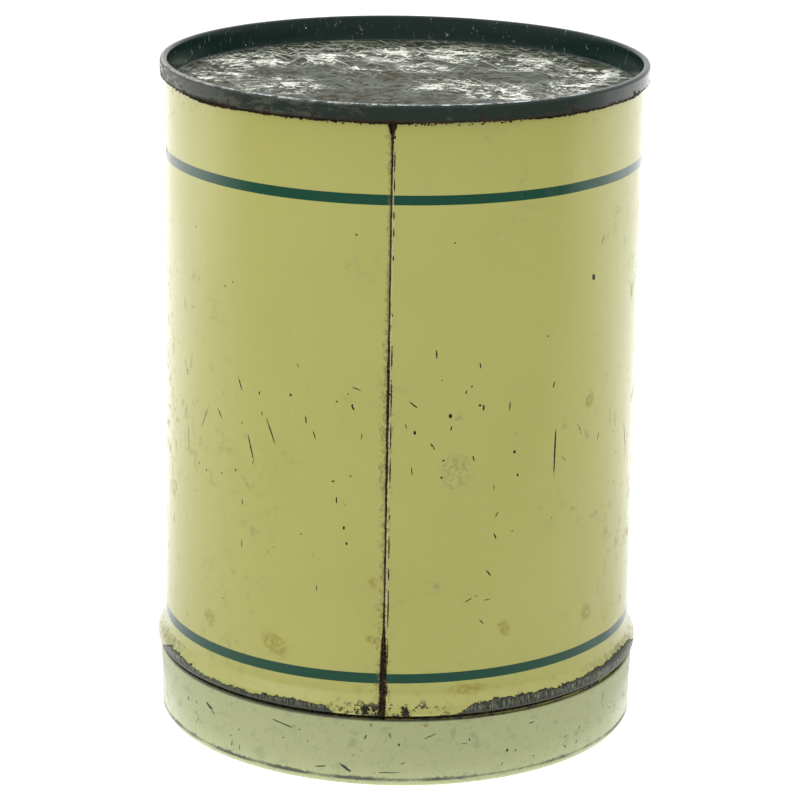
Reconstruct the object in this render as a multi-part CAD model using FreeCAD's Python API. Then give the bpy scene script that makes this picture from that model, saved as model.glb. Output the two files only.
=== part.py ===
"""Round slip-lid tin canister, stored upside down on its lid.

The tin is made of thin painted tinplate. Its body is one sheet rolled into a tube and closed by a
locked, soldered side seam. A stop bead is rolled outwards above the mouth, and the mouth edge is
curled inwards round a wire. The countersunk base is double seamed to the other end of the body.
The drawn lid slips over the mouth and its hemmed rim faces the stop bead.

All sizes are in millimetres. The origin is the centre of the lid's outer panel, which lies on the
surface that the tin stands on. +Z runs from the lid to the base, and the side seam faces -Y.
"""

import FreeCAD
import Part
import math
import os

Vector = FreeCAD.Vector

# Driving dimensions
BODY_DIAMETER = 150.0
OVERALL_HEIGHT = 213.6
SHEET = 0.35

# Slip lid
LID_HEIGHT = 22.0
LID_CORNER_RADIUS = 2.2
LID_CLEARANCE = 0.4
LID_HEM_GAP = 0.5
LID_HEM_LENGTH = 4.6
LID_RIM_FLARE = 0.25
LID_FLARE_RISE = 1.0
LID_STAND_WIDTH = 14.0
LID_PANEL_RECESS = 0.8
LID_STEP_WIDTH = 1.2
LID_STEP_BEND = 0.6

# Mouth of the tin: a curl round a wire, just clear of the lid's panel
WIRE_DIAMETER = 1.6
WIRE_CLEARANCE = 0.03
MOUTH_CLEARANCE = 0.3
CURL_END_GAP = 0.35

# Stop bead that halts the lid
BEAD_GAP = 1.05
BEAD_HEIGHT = 6.9
BEAD_PROTRUSION = 2.5
BEAD_UNDERCUT = 1.0
BEAD_CREST_START = 3.6
BEAD_ROOT_BEND = 0.7
BEAD_NOSE_BEND = 1.25
BEAD_SHOULDER_BEND = 1.5
BEAD_COVE_BEND = 2.4

# Countersunk base and its double seam
SEAM_HEIGHT = 5.3
SEAM_LAYER_GAP = 0.16
SEAM_HOOK_CLEARANCE = 0.45
SEAM_CROWN_BEND = 0.8
CHUCK_CLEARANCE = 0.03
CHUCK_TAPER = 1.0
CHUCK_CROWN_BEND = 0.6
BASE_RECESS = 8.0
BASE_CORNER_BEND = 1.0

# Locked side seam
GROOVE_WIDTH = 0.7
LOCK_WIDTH = 4.4
LOCK_LAYERS = 2
LOCK_END_GAP = 2.0
SOLDER_RECESS = 0.08
SOLDER_CLEARANCE = 0.02

# Radii and heights that follow from the sizes above
HALF_SHEET = SHEET / 2.0
BODY_RADIUS = BODY_DIAMETER / 2.0
WALL_LINE = BODY_RADIUS - HALF_SHEET
MOUTH_Z = SHEET + MOUTH_CLEARANCE
CURL_BEND = WIRE_DIAMETER / 2.0 + WIRE_CLEARANCE + HALF_SHEET
CURL_LINE_Z = MOUTH_Z + HALF_SHEET
WIRE_RING_RADIUS = WALL_LINE - CURL_BEND
WIRE_RING_Z = CURL_LINE_Z + CURL_BEND
BEAD_Z = LID_HEIGHT + BEAD_GAP
BEAD_TOP_Z = BEAD_Z + BEAD_HEIGHT
BEAD_LINE = WALL_LINE + BEAD_PROTRUSION
SEAM_LAYER = SHEET + SEAM_LAYER_GAP
HOOK_BEND = SEAM_LAYER
COVER_HOOK_LINE = WALL_LINE + SEAM_LAYER
BODY_HOOK_LINE = COVER_HOOK_LINE + SEAM_LAYER
SEAM_WALL_LINE = BODY_HOOK_LINE + SEAM_LAYER
SEAM_BOTTOM_Z = OVERALL_HEIGHT - SEAM_HEIGHT
CROWN_LINE_Z = OVERALL_HEIGHT - HALF_SHEET
FLANGE_LINE_Z = CROWN_LINE_Z - SEAM_LAYER
CHUCK_LINE = BODY_RADIUS - SHEET - CHUCK_CLEARANCE - HALF_SHEET
BASE_LINE_Z = OVERALL_HEIGHT - BASE_RECESS - HALF_SHEET
HEM_LINE = BODY_RADIUS + LID_CLEARANCE + HALF_SHEET
LID_RIM_LINE = HEM_LINE + SHEET + LID_HEM_GAP
LID_WALL_LINE = LID_RIM_LINE - LID_RIM_FLARE
LID_RIM_LINE_Z = LID_HEIGHT - HALF_SHEET


def left_normal(direction):
    """Return the direction turned a quarter turn to the left in the section plane."""
    return Vector(-direction.z, 0, direction.x)


def path_pieces(path):
    """Split a section path into straight runs and bends.

    The path is a list of (radius, height, bend radius) corners along the middle of the sheet.
    """
    points = [Vector(radius, 0, height) for radius, height, bend in path]
    pieces = []
    run_start = points[0]
    for index in range(1, len(points) - 1):
        corner = points[index]
        bend = path[index][2]
        before = (corner - points[index - 1]).normalize()
        after = (points[index + 1] - corner).normalize()
        turn = before.x * after.z - before.z * after.x
        angle = math.acos(max(-1.0, min(1.0, before.dot(after))))
        reach = bend * math.tan(angle / 2.0)
        bend_start = corner - before * reach
        bend_end = corner + after * reach
        side = 1.0 if turn > 0 else -1.0
        centre = bend_start + left_normal(before) * side * bend
        pieces.append(("run", run_start, bend_start, before))
        pieces.append(("bend", bend_start, bend_end, corner, centre, bend, side))
        run_start = bend_end
    last = (points[-1] - run_start).normalize()
    pieces.append(("run", run_start, points[-1], last))
    return pieces


def offset_edges(pieces, offset):
    """Return the edges of a line that keeps a set distance to the left of the path."""
    edges = []
    for piece in pieces:
        if piece[0] == "run":
            start, end, direction = piece[1:]
            if (end - start).Length > 1e-6:
                shift = left_normal(direction) * offset
                edges.append(Part.LineSegment(start + shift, end + shift).toShape())
            continue
        start, end, corner, centre, bend, side = piece[1:]
        radius = bend - side * offset
        middle = (corner - centre).normalize()
        arc_points = [centre + (point - centre).normalize() * radius for point in (start, end)]
        arc = Part.Arc(arc_points[0], centre + middle * radius, arc_points[1])
        edges.append(arc.toShape())
    return edges


def end_point(edges, last):
    """Return the first or last point of a chain of edges."""
    edge = edges[-1] if last else edges[0]
    parameter = edge.LastParameter if last else edge.FirstParameter
    return edge.valueAt(parameter)


def sheet_face(path, left, right):
    """Return the section of a sheet that reaches from one offset of the path to the other."""
    pieces = path_pieces(path)
    left_edges = offset_edges(pieces, left)
    right_edges = offset_edges(pieces, right)
    caps = [
        Part.LineSegment(end_point(left_edges, last), end_point(right_edges, last)).toShape()
        for last in (False, True)
    ]
    edges = Part.__sortEdges__(left_edges + right_edges + caps)
    return Part.Face(Part.Wire(edges))


def spun(face, start_angle, angle):
    """Turn a section about Z, with the angles counted from -Y."""
    face.rotate(Vector(0, 0, 0), Vector(0, 0, 1), start_angle - 90.0)
    return face.revolve(Vector(0, 0, 0), Vector(0, 0, 1), angle)


def angle_across(width):
    """Return the angle in degrees that a width takes up on the body's outside."""
    return math.degrees(2.0 * math.asin(width / 2.0 / BODY_RADIUS))


def bead_path(start_z, end_z):
    """Return the wall's path from a height below the stop bead to a height above it."""
    return [
        (WALL_LINE, start_z, 0),
        (WALL_LINE, BEAD_Z, BEAD_ROOT_BEND),
        (BEAD_LINE, BEAD_Z + BEAD_UNDERCUT, BEAD_NOSE_BEND),
        (BEAD_LINE, BEAD_Z + BEAD_CREST_START, BEAD_SHOULDER_BEND),
        (WALL_LINE, BEAD_TOP_Z, BEAD_COVE_BEND),
        (WALL_LINE, end_z, 0),
    ]


def make_body_shell():
    """Rolled body sheet with mouth curl, stop bead, side seam fold and base flange."""
    curl_top_z = CURL_LINE_Z + 2.0 * CURL_BEND
    curl_inner_line = WALL_LINE - 2.0 * CURL_BEND
    curl_end = BODY_RADIUS - SHEET - CURL_END_GAP
    hook_end_z = SEAM_BOTTOM_Z + SHEET + SEAM_HOOK_CLEARANCE
    path = [
        (curl_end, curl_top_z, 0),
        (curl_inner_line, curl_top_z, CURL_BEND),
        (curl_inner_line, CURL_LINE_Z, CURL_BEND),
        (WALL_LINE, CURL_LINE_Z, CURL_BEND),
    ]
    path += bead_path(curl_top_z, FLANGE_LINE_Z)[1:-1]
    path += [
        (WALL_LINE, FLANGE_LINE_Z, HOOK_BEND),
        (BODY_HOOK_LINE, FLANGE_LINE_Z, HOOK_BEND),
        (BODY_HOOK_LINE, hook_end_z, 0),
    ]
    groove = angle_across(GROOVE_WIDTH)
    wall = spun(sheet_face(path, HALF_SHEET, -HALF_SHEET), groove / 2.0, 360.0 - groove)
    lock_start_z = curl_top_z + LOCK_END_GAP
    lock_end_z = BASE_LINE_Z - HALF_SHEET - BASE_CORNER_BEND - LOCK_END_GAP
    lock_face = sheet_face(
        bead_path(lock_start_z, lock_end_z), HALF_SHEET, HALF_SHEET + LOCK_LAYERS * SHEET
    )
    lock_angle = angle_across(LOCK_WIDTH)
    lock = spun(lock_face, -lock_angle / 2.0, lock_angle)
    return wall.fuse(lock).removeSplitter()


def make_side_seam_solder():
    """Solder that fills the groove of the locked side seam from the mouth to the base seam."""
    start_z = CURL_LINE_Z + 2.0 * CURL_BEND + LOCK_END_GAP
    end_z = SEAM_BOTTOM_Z - SEAM_LAYER_GAP
    inner = HALF_SHEET - SOLDER_CLEARANCE
    outer = -(HALF_SHEET - SOLDER_RECESS)
    width = angle_across(GROOVE_WIDTH - 2.0 * SOLDER_CLEARANCE)
    return spun(sheet_face(bead_path(start_z, end_z), inner, outer), -width / 2.0, width)


def make_mouth_wire():
    """Steel wire ring inside the mouth's curl."""
    wire = Part.makeTorus(WIRE_RING_RADIUS, WIRE_DIAMETER / 2.0)
    wire.translate(Vector(0, 0, WIRE_RING_Z))
    return wire


def make_base_end():
    """Countersunk base disc whose edge is rolled with the body's flange into a double seam."""
    seam_foot_z = SEAM_BOTTOM_Z + HALF_SHEET
    cover_hook_end_z = FLANGE_LINE_Z - HALF_SHEET - SEAM_HOOK_CLEARANCE
    path = [
        (0, BASE_LINE_Z, 0),
        (CHUCK_LINE - CHUCK_TAPER, BASE_LINE_Z, BASE_CORNER_BEND),
        (CHUCK_LINE, CROWN_LINE_Z, CHUCK_CROWN_BEND),
        (SEAM_WALL_LINE, CROWN_LINE_Z, SEAM_CROWN_BEND),
        (SEAM_WALL_LINE, seam_foot_z, HOOK_BEND),
        (COVER_HOOK_LINE, seam_foot_z, HOOK_BEND),
        (COVER_HOOK_LINE, cover_hook_end_z, 0),
    ]
    return spun(sheet_face(path, HALF_SHEET, -HALF_SHEET), 0.0, 360.0)


def make_lid():
    """Drawn slip lid with a stepped panel, a rounded corner and a rim hemmed inwards."""
    stand_radius = LID_WALL_LINE + HALF_SHEET - LID_CORNER_RADIUS - LID_STAND_WIDTH
    corner_bend = LID_CORNER_RADIUS - HALF_SHEET
    flare_z = LID_HEIGHT - LID_HEM_LENGTH - LID_FLARE_RISE
    hem_bend = (LID_RIM_LINE - HEM_LINE) / 2.0
    path = [
        (0, HALF_SHEET + LID_PANEL_RECESS, 0),
        (stand_radius - LID_STEP_WIDTH, HALF_SHEET + LID_PANEL_RECESS, LID_STEP_BEND),
        (stand_radius, HALF_SHEET, LID_STEP_BEND),
        (LID_WALL_LINE, HALF_SHEET, corner_bend),
        (LID_WALL_LINE, flare_z, LID_CORNER_RADIUS),
        (LID_RIM_LINE, flare_z + LID_FLARE_RISE, LID_CORNER_RADIUS),
        (LID_RIM_LINE, LID_RIM_LINE_Z, hem_bend),
        (HEM_LINE, LID_RIM_LINE_Z, hem_bend),
        (HEM_LINE, LID_HEIGHT - LID_HEM_LENGTH, 0),
    ]
    return spun(sheet_face(path, HALF_SHEET, -HALF_SHEET), 0.0, 360.0)


def main():
    """Make every piece and write each to its own file."""
    os.makedirs("parts", exist_ok=True)
    makers = {
        "body_shell": make_body_shell,
        "side_seam_solder": make_side_seam_solder,
        "mouth_wire": make_mouth_wire,
        "base_end": make_base_end,
        "lid": make_lid,
    }
    for name, make in makers.items():
        shape = make()
        shape.exportStep("parts/" + name + ".step")
        box = shape.BoundBox
        print(
            name,
            "valid" if shape.isValid() else "INVALID",
            len(shape.Solids),
            "volume %.1f mm3" % shape.Volume,
            "z %.2f to %.2f, radius %.2f" % (box.ZMin, box.ZMax, box.XMax),
        )


main()
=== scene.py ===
"""Looks of a round slip-lid tin that stands upside down on its lid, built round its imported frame."""

import logging
import math
import random
from dataclasses import dataclass, field
from enum import Enum
from typing import Optional, Sequence, Union

import bpy
import numpy as np
from mathutils import Matrix, Vector


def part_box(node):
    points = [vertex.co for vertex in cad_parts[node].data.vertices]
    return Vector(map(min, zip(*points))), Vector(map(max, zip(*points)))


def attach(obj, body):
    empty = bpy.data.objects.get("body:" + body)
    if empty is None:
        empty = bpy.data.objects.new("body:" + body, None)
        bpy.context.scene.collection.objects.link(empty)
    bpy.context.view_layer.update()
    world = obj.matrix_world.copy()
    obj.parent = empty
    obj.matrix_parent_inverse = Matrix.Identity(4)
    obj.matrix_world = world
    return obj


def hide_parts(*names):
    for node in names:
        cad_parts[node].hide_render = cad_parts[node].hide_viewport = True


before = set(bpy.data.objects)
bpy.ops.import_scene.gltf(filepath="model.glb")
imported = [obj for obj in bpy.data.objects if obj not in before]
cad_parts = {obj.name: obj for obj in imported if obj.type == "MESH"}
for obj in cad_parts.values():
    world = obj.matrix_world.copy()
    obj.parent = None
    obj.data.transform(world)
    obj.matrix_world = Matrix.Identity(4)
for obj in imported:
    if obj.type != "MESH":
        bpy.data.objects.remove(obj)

LOG = logging.getLogger("tin")
MM = 0.001
SEAM_SPAN = 208.0
PROFILE_SPAN = 210.0
ROUND_REACH = 10.0
Socket = bpy.types.NodeSocket
Value = Union[float, int, Socket, "Term", None]
Colour = tuple[float, float, float]


class Skin(Enum):
    """The two faces of a sheet: the left or the right of the path that its section follows."""

    LEFT = 1
    RIGHT = -1


class MarkKind(Enum):
    """What a mark on the paint shows: bare dark metal, a rusty stain or a faint scuff."""

    SCRATCH = 1.0
    STAIN = 2.0
    SCUFF = 3.0


# ---------------------------------------------------------------------------------------------
# Node graphs
# ---------------------------------------------------------------------------------------------


class Term:
    """A value in a node graph, for which Python's own signs add Math nodes."""

    def __init__(self, graph: "Graph", socket: Socket) -> None:
        """Keep the graph and the output that carries the value."""
        self.graph = graph
        self.socket = socket

    def __add__(self, other: "Value") -> "Term":
        """Return the sum."""
        return self.graph.math("ADD", self, other)

    def __radd__(self, other: "Value") -> "Term":
        """Return the sum."""
        return self.graph.math("ADD", other, self)

    def __sub__(self, other: "Value") -> "Term":
        """Return the difference."""
        return self.graph.math("SUBTRACT", self, other)

    def __rsub__(self, other: "Value") -> "Term":
        """Return the difference."""
        return self.graph.math("SUBTRACT", other, self)

    def __mul__(self, other: "Value") -> "Term":
        """Return the product."""
        return self.graph.math("MULTIPLY", self, other)

    def __rmul__(self, other: "Value") -> "Term":
        """Return the product."""
        return self.graph.math("MULTIPLY", other, self)

    def __truediv__(self, other: "Value") -> "Term":
        """Return the quotient."""
        return self.graph.math("DIVIDE", self, other)

    def __rtruediv__(self, other: "Value") -> "Term":
        """Return the quotient."""
        return self.graph.math("DIVIDE", other, self)

    def __or__(self, other: "Value") -> "Term":
        """Return the larger of the two, which joins two masks."""
        return self.graph.math("MAXIMUM", self, other)

    def __abs__(self) -> "Term":
        """Return the size of the value without its sign."""
        return self.graph.math("ABSOLUTE", self)


class Graph:
    """A node tree with short calls, each of which adds one node and returns its main output."""

    def __init__(self, tree: bpy.types.NodeTree) -> None:
        """Keep the tree that the calls add to.

        Args:
            tree: a shader or geometry node tree.
        """
        self.tree = tree

    def node(self, kind: str, inputs: Optional[dict] = None, **settings: object) -> bpy.types.Node:
        """Add a node.

        Args:
            kind: the node's class name.
            inputs: what to feed its inputs, by their name or number.
            settings: properties to set on it.

        Returns:
            The new node.
        """
        made = self.tree.nodes.new(kind)
        for name, value in settings.items():
            setattr(made, name, value)
        for key, value in (inputs or {}).items():
            self.feed(made.inputs[key], value)
        return made

    def feed(self, socket: Socket, value: object) -> None:
        """Link a socket to an output, or set it to a plain value.

        Args:
            socket: the input to feed.
            value: an output socket, a number, a colour or a vector.
        """
        if value is None:
            return
        if isinstance(value, Term):
            value = value.socket
        if isinstance(value, bpy.types.NodeSocket):
            self.tree.links.new(value, socket)
            return
        if socket.type == "RGBA" and len(value) == 3:
            value = (*value, 1.0)
        socket.default_value = value

    def math(self, operation: str, a: Value, b: Value = None, c: Value = None) -> Term:
        """Return the result of a Math node.

        Args:
            operation: the node's operation.
            a: its first number.
            b: its second number, if it takes one.
            c: its third number, if it takes one.

        Returns:
            The node's output.
        """
        made = self.node("ShaderNodeMath", {0: a, 1: b, 2: c}, operation=operation)
        return Term(self, made.outputs[0])

    def step(self, value: Value, start: float, end: float, low: float = 0.0, high: float = 1.0) -> Term:
        """Return a smooth step as a value goes from start to end, which may fall as well as rise.

        Args:
            value: the number that drives the step.
            start: where the step begins.
            end: where it is complete.
            low: the result before the step.
            high: the result after it.

        Returns:
            The step's output.
        """
        if start > end:
            start, end, low, high = end, start, high, low
        inputs = {0: value, 1: start, 2: end, 3: low, 4: high}
        made = self.node("ShaderNodeMapRange", inputs, interpolation_type="SMOOTHSTEP")
        return Term(self, made.outputs[0])

    def band(self, value: Value, middle: float, half: float, soft: float) -> Term:
        """Return a mask that is one within half of a middle value, with soft edges."""
        away = abs(value - middle)
        return self.step(away, half + soft, half - soft)

    def curve(self, value: Value, points: Sequence[tuple[float, float]]) -> Term:
        """Return a smooth curve through points, as a function of a value from 0 to 1.

        Args:
            value: the number to look up.
            points: (value, result) pairs in order, both from 0 to 1.

        Returns:
            The curve's output.
        """
        made = self.node("ShaderNodeFloatCurve")
        line = made.mapping.curves[0]
        line.points[0].location = points[0]
        line.points[-1].location = points[-1]
        for point in points[1:-1]:
            line.points.new(*point)
        made.mapping.update()
        self.feed(made.inputs["Value"], value)
        return Term(self, made.outputs[0])

    def scaled(self, vector: Value, factors: Sequence[float]) -> Term:
        """Return a vector multiplied by a factor along each axis."""
        made = self.node("ShaderNodeVectorMath", {0: vector, 1: tuple(factors)}, operation="MULTIPLY")
        return Term(self, made.outputs[0])

    def turned(self, vector: Value, degrees: float, factors: Sequence[float]) -> Term:
        """Return a vector turned about Z and then scaled along each axis.

        Args:
            vector: the vector to turn.
            degrees: how far it turns.
            factors: the factor along each axis after the turn.

        Returns:
            The new vector.
        """
        made = self.node(
            "ShaderNodeVectorRotate",
            {"Vector": vector, "Angle": math.radians(degrees)},
            rotation_type="Z_AXIS",
        )
        return self.scaled(made.outputs[0], factors)

    def joined(self, x: Value, y: Value, z: Value) -> Term:
        """Return a vector made of three numbers."""
        return Term(self, self.node("ShaderNodeCombineXYZ", {0: x, 1: y, 2: z}).outputs[0])

    def split(self, vector: Value) -> tuple[Term, Term, Term]:
        """Return the three parts of a vector."""
        made = self.node("ShaderNodeSeparateXYZ", {0: vector})
        return tuple(Term(self, output) for output in made.outputs)

    def noise(
        self, vector: Value, size: float, detail: float = 2.0, rough: float = 0.5, bend: float = 0.0
    ) -> Term:
        """Return fractal noise from 0 to 1 whose largest features have about the given size.

        Args:
            vector: the coordinates, in the same unit as the size.
            size: the size of its largest features.
            detail: how many finer layers are added.
            rough: how strong the finer layers are.
            bend: how far the coordinates are distorted.

        Returns:
            The noise.
        """
        inputs = {"Vector": vector, "Scale": 1.0 / size, "Detail": detail, "Roughness": rough}
        inputs["Distortion"] = bend
        return Term(self, self.node("ShaderNodeTexNoise", inputs, noise_dimensions="3D").outputs[0])

    def cells(self, vector: Value, size: float) -> bpy.types.Node:
        """Return a Voronoi node whose cells have about the given size."""
        return self.node("ShaderNodeTexVoronoi", {"Vector": vector, "Scale": 1.0 / size}, feature="F1")

    def mixed(self, share: Value, first: object, second: object) -> Term:
        """Return a mix of two colours.

        Args:
            share: how much of the second colour shows.
            first: the colour at a share of 0.
            second: the colour at a share of 1.

        Returns:
            The mixed colour.
        """
        made = self.node("ShaderNodeMix", data_type="RGBA", clamp_factor=True)
        for index, value in ((0, share), (6, first), (7, second)):
            self.feed(made.inputs[index], value)
        return Term(self, made.outputs[2])

    def between(self, share: Value, first: Value, second: Value) -> Term:
        """Return a number between two others."""
        made = self.node("ShaderNodeMix", {0: share, 2: first, 3: second}, data_type="FLOAT")
        return Term(self, made.outputs[0])


# ---------------------------------------------------------------------------------------------
# Finishes
# ---------------------------------------------------------------------------------------------


class Surface(Graph):
    """The shader of one finish, with the coordinates that the finishes share."""

    def __init__(self, name: str) -> None:
        """Start a material with one Principled shader.

        Args:
            name: the material's name.
        """
        self.material = bpy.data.materials.new(name)
        self.material.use_nodes = True
        super().__init__(self.material.node_tree)
        self.shader_node = self.tree.nodes["Principled BSDF"]
        place = self.node("ShaderNodeTexCoord").outputs["Object"]
        self.place = self.scaled(place, (1.0 / MM,) * 3)

    def cloud(
        self,
        size: float,
        detail: float = 2.0,
        rough: float = 0.5,
        bend: float = 0.0,
        stretch: Sequence[float] = (),
    ) -> Term:
        """Return noise on the piece's own place, in millimetres.

        Args:
            size: the size of its largest features.
            detail: how many finer layers are added.
            rough: how strong the finer layers are.
            bend: how far the coordinates are distorted.
            stretch: a factor on the place along each axis, if it has one.

        Returns:
            The noise, from 0 to 1.
        """
        place = self.scaled(self.place, stretch) if stretch else self.place
        return self.noise(place, size, detail, rough, bend)

    def attribute(self, name: str) -> bpy.types.Node:
        """Return the node that reads one of the piece's own attributes."""
        return self.node("ShaderNodeAttribute", attribute_name=name)

    def finish(
        self, colour: object, rough: Value, metal: Value = 0.0, height: Value = None, specular: Value = 0.5
    ) -> bpy.types.Material:
        """Join the results to the shader.

        Args:
            colour: the base colour.
            rough: the roughness.
            metal: how metallic it is.
            height: the relief in millimetres, if it has one.
            specular: the specular level.

        Returns:
            The finished material.
        """
        self.feed(self.shader_node.inputs["Base Color"], colour)
        self.feed(self.shader_node.inputs["Roughness"], rough)
        self.feed(self.shader_node.inputs["Metallic"], metal)
        self.feed(self.shader_node.inputs["Specular IOR Level"], specular)
        if height is not None:
            bump = self.node("ShaderNodeBump", {"Distance": MM, "Height": height})
            self.feed(self.shader_node.inputs["Normal"], bump.outputs[0])
        return self.material

    def marks(self) -> dict[MarkKind, Term]:
        """Return a mask for each kind of mark, read from the piece's own mark attribute.

        Returns:
            A mask by kind of mark.
        """
        along, across, kind = self.split(self.attribute("mark").outputs["Vector"])
        ragged = self.cloud(0.9, 3.0, 0.65)
        reach = self.math("SQRT", along * along + across * across)
        shape = reach + (ragged - 0.5) * 1.3
        crisp = self.step(shape, 1.0, 0.75)
        soft = self.step(shape, 1.0, 0.45)
        masks = {}
        for item in MarkKind:
            chosen = self.math("COMPARE", kind, item.value, 0.1)
            masks[item] = chosen * (crisp if item is MarkKind.SCRATCH else soft)
        return masks

    def specks(self, size: float, share: float, cluster: Value) -> Term:
        """Return tiny scattered specks, more of them where a cluster mask is strong.

        Args:
            size: the distance between neighbouring specks.
            share: the largest share of a cell that a speck takes.
            cluster: a mask of where they gather.

        Returns:
            The mask of the specks.
        """
        found = self.cells(self.place, size)
        lot = self.split(found.outputs["Color"])[0]
        radius = (lot - (1.0 - cluster)) * share
        ragged = (self.cloud(size / 4.0) - 0.5) * 0.12
        gap = radius - (Term(self, found.outputs["Distance"]) + ragged)
        return self.step(gap, 0.0, 0.04)

    def streaks(self, degrees: float, width: float, stretch: float, fewest: float) -> Term:
        """Return fine straight scratches across the XY plane, all in about one direction.

        Args:
            degrees: the direction of the scratches from +X.
            width: their width.
            stretch: how many widths long they are.
            fewest: the noise level above which a scratch shows.

        Returns:
            The mask of the scratches.
        """
        course = self.turned(self.place, -degrees, (1.0 / stretch, 1.0, 1.0))
        return self.step(self.noise(course, width * 4.0, 2.0, 0.6), fewest, fewest + 0.04)


@dataclass(frozen=True)
class Stripe:
    """A printed line round the body: its middle height, its width and its rise towards +X."""

    height: float
    width: float
    tilt: float


@dataclass(frozen=True)
class BodyEnamel:
    """Glossy cream enamel on the outside of the body, with printed stripes and its wear, painted shade
    under the base seam and in the gap above the lid's rim, and painted highlights on the stop bead and
    beside the side seam.
    """

    paint: Colour = (0.435, 0.430, 0.128)
    paint_shade: Colour = (0.400, 0.390, 0.104)
    stripe_green: Colour = (0.006, 0.062, 0.034)
    scratch_dark: Colour = (0.016, 0.015, 0.011)
    bare_metal: Colour = (0.030, 0.036, 0.024)
    # Painted highlight on the stop bead's bare metal.
    bead_highlight_tone: Colour = (0.36, 0.39, 0.29)
    mouth_metal: Colour = (0.42, 0.42, 0.40)
    rust: Colour = (0.009, 0.007, 0.004)
    rust_light: Colour = (0.085, 0.045, 0.015)
    grime_tone: Colour = (0.17, 0.12, 0.03)
    ochre: Colour = (0.30, 0.25, 0.036)
    scuff_tone: Colour = (0.22, 0.21, 0.07)
    haze_tone: Colour = (0.12, 0.13, 0.075)
    # Painted highlight beside the side seam.
    seam_highlight_tone: Colour = (0.55, 0.56, 0.38)
    stripes: tuple[Stripe, ...] = (Stripe(184.9, 2.95, 0.15), Stripe(35.2, 3.05, 0.7))
    stripe_misfit: float = 0.12
    bead_low: float = 23.0
    seam_foot: float = 208.3
    seam_lean: float = 0.6
    half_way_round: float = math.pi * 75.0
    bead_loss: tuple[tuple[float, float], ...] = (
        (-180.0, 3.0), (-150.0, 1.4), (-120.0, 2.6), (-90.0, 1.4), (-72.0, 1.6), (-66.0, 4.3), (-50.0, 3.0),
        (-36.0, 2.5), (-22.0, 3.4), (-13.0, 2.6), (-9.0, 0.3), (13.0, 0.3), (19.0, 2.6),
        (28.0, 4.5), (45.0, 4.3), (62.0, 5.0), (76.0, 5.2), (90.0, 2.0), (130.0, 3.4), (180.0, 3.0),
    )
    rim_rust: tuple[tuple[float, float], ...] = (
        (-180.0, 0.6), (-120.0, 0.4), (-75.0, 0.3), (-62.0, 0.7), (-50.0, 1.5), (-36.0, 1.0),
        (-22.0, 0.8), (-8.0, 0.7), (-2.0, 0.8), (10.0, 0.3), (28.0, 0.4), (42.0, 0.9),
        (60.0, 0.8), (75.0, 1.2), (90.0, 0.4), (180.0, 0.6),
    )

    def round_curve(self, surface: Surface, arc: Term, points: Sequence[tuple[float, float]]) -> Term:
        """Return a height in millimetres that changes round the body.

        Args:
            surface: the shader to add to.
            arc: the distance round the body from the side seam.
            points: (angle in degrees, height in millimetres) pairs, at most 10 mm high.

        Returns:
            The height at that place.
        """
        share = arc / (2.0 * self.half_way_round) + 0.5
        line = [(angle / 360.0 + 0.5, height / ROUND_REACH) for angle, height in points]
        return surface.curve(share, line) * ROUND_REACH

    def bead_masks(self, surface: Surface, arc: Term, height: Term) -> tuple[Term, Term, Term]:
        """Return where the stop bead has lost its paint, the broken edge of it and the chips.

        Args:
            surface: the shader to add to.
            arc: the distance round the body from the side seam.
            height: the height above the floor.

        Returns:
            The masks of the bare metal, of the paint's edge and of the chips near the seam.
        """
        reach = self.round_curve(surface, arc, self.bead_loss)
        jags = surface.cloud(3.0, 5.0, 0.75)
        edge = reach + (jags - 0.5) * 4.0
        over = height - self.bead_low - edge
        present = surface.step(reach, 0.3, 1.6)
        chips = surface.cloud(3.4, 5.0, 0.75)
        near_seam = surface.step(abs(arc - 2.0), 30.0, 8.0)
        above_lid = surface.step(height, self.bead_low - 1.0, self.bead_low - 0.6)
        on_bead = surface.step(height, 29.6, 26.5) * near_seam * above_lid
        chipped = surface.step(chips + on_bead * 0.12, 0.605, 0.62)
        bare = surface.step(over, 0.08, -0.08) * present * above_lid
        rim = surface.band(over, 0.0, 0.16, 0.12) * present * above_lid
        return bare, rim, chipped * on_bead

    def seam_masks(self, surface: Surface, arc: Term, height: Term) -> tuple[Term, Term]:
        """Return the rust along the side seam, and the grime that spreads from it.

        Args:
            surface: the shader to add to.
            arc: the distance round the body from the side seam.
            height: the height above the floor.

        Returns:
            The mask of the rust and the mask of the grime.
        """
        lean = (height / SEAM_SPAN - 0.5) * self.seam_lean
        away = arc - lean
        wander = (surface.cloud(5.0, 3.0, 0.6) - 0.5) * 0.4
        crumble = (surface.cloud(0.8, 4.0, 0.75) - 0.5) * 1.3
        gap = abs(away + wander + crumble)
        width = surface.curve(
            height / PROFILE_SPAN,
            [
                (0.0, 0.1), (0.12, 0.1), (0.16, 0.11), (0.21, 0.09), (0.25, 0.034), (0.4, 0.028),
                (0.66, 0.034), (0.69, 0.022), (0.8, 0.02), (0.93, 0.024), (0.965, 0.04), (0.985, 0.12),
                (1.0, 0.18),
            ],
        )
        rust = surface.step(gap - width * 10.0, 0.08, -0.08)
        side = abs(away + 0.4)
        pepper = surface.cloud(1.3, 4.0, 0.75)
        spread = surface.curve(
            height / PROFILE_SPAN,
            [
                (0.0, 0.55), (0.2, 0.5), (0.3, 0.3), (0.45, 0.4), (0.6, 0.4), (0.75, 0.2),
                (0.92, 0.25), (1.0, 0.6),
            ],
        )
        close = surface.step(side / (spread * 8.0), 1.0, 0.0)
        grime = surface.step(pepper + close * 0.17, 0.6, 0.7)
        grime = grime * surface.step(close, 0.0, 0.25)
        return rust, grime

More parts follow.
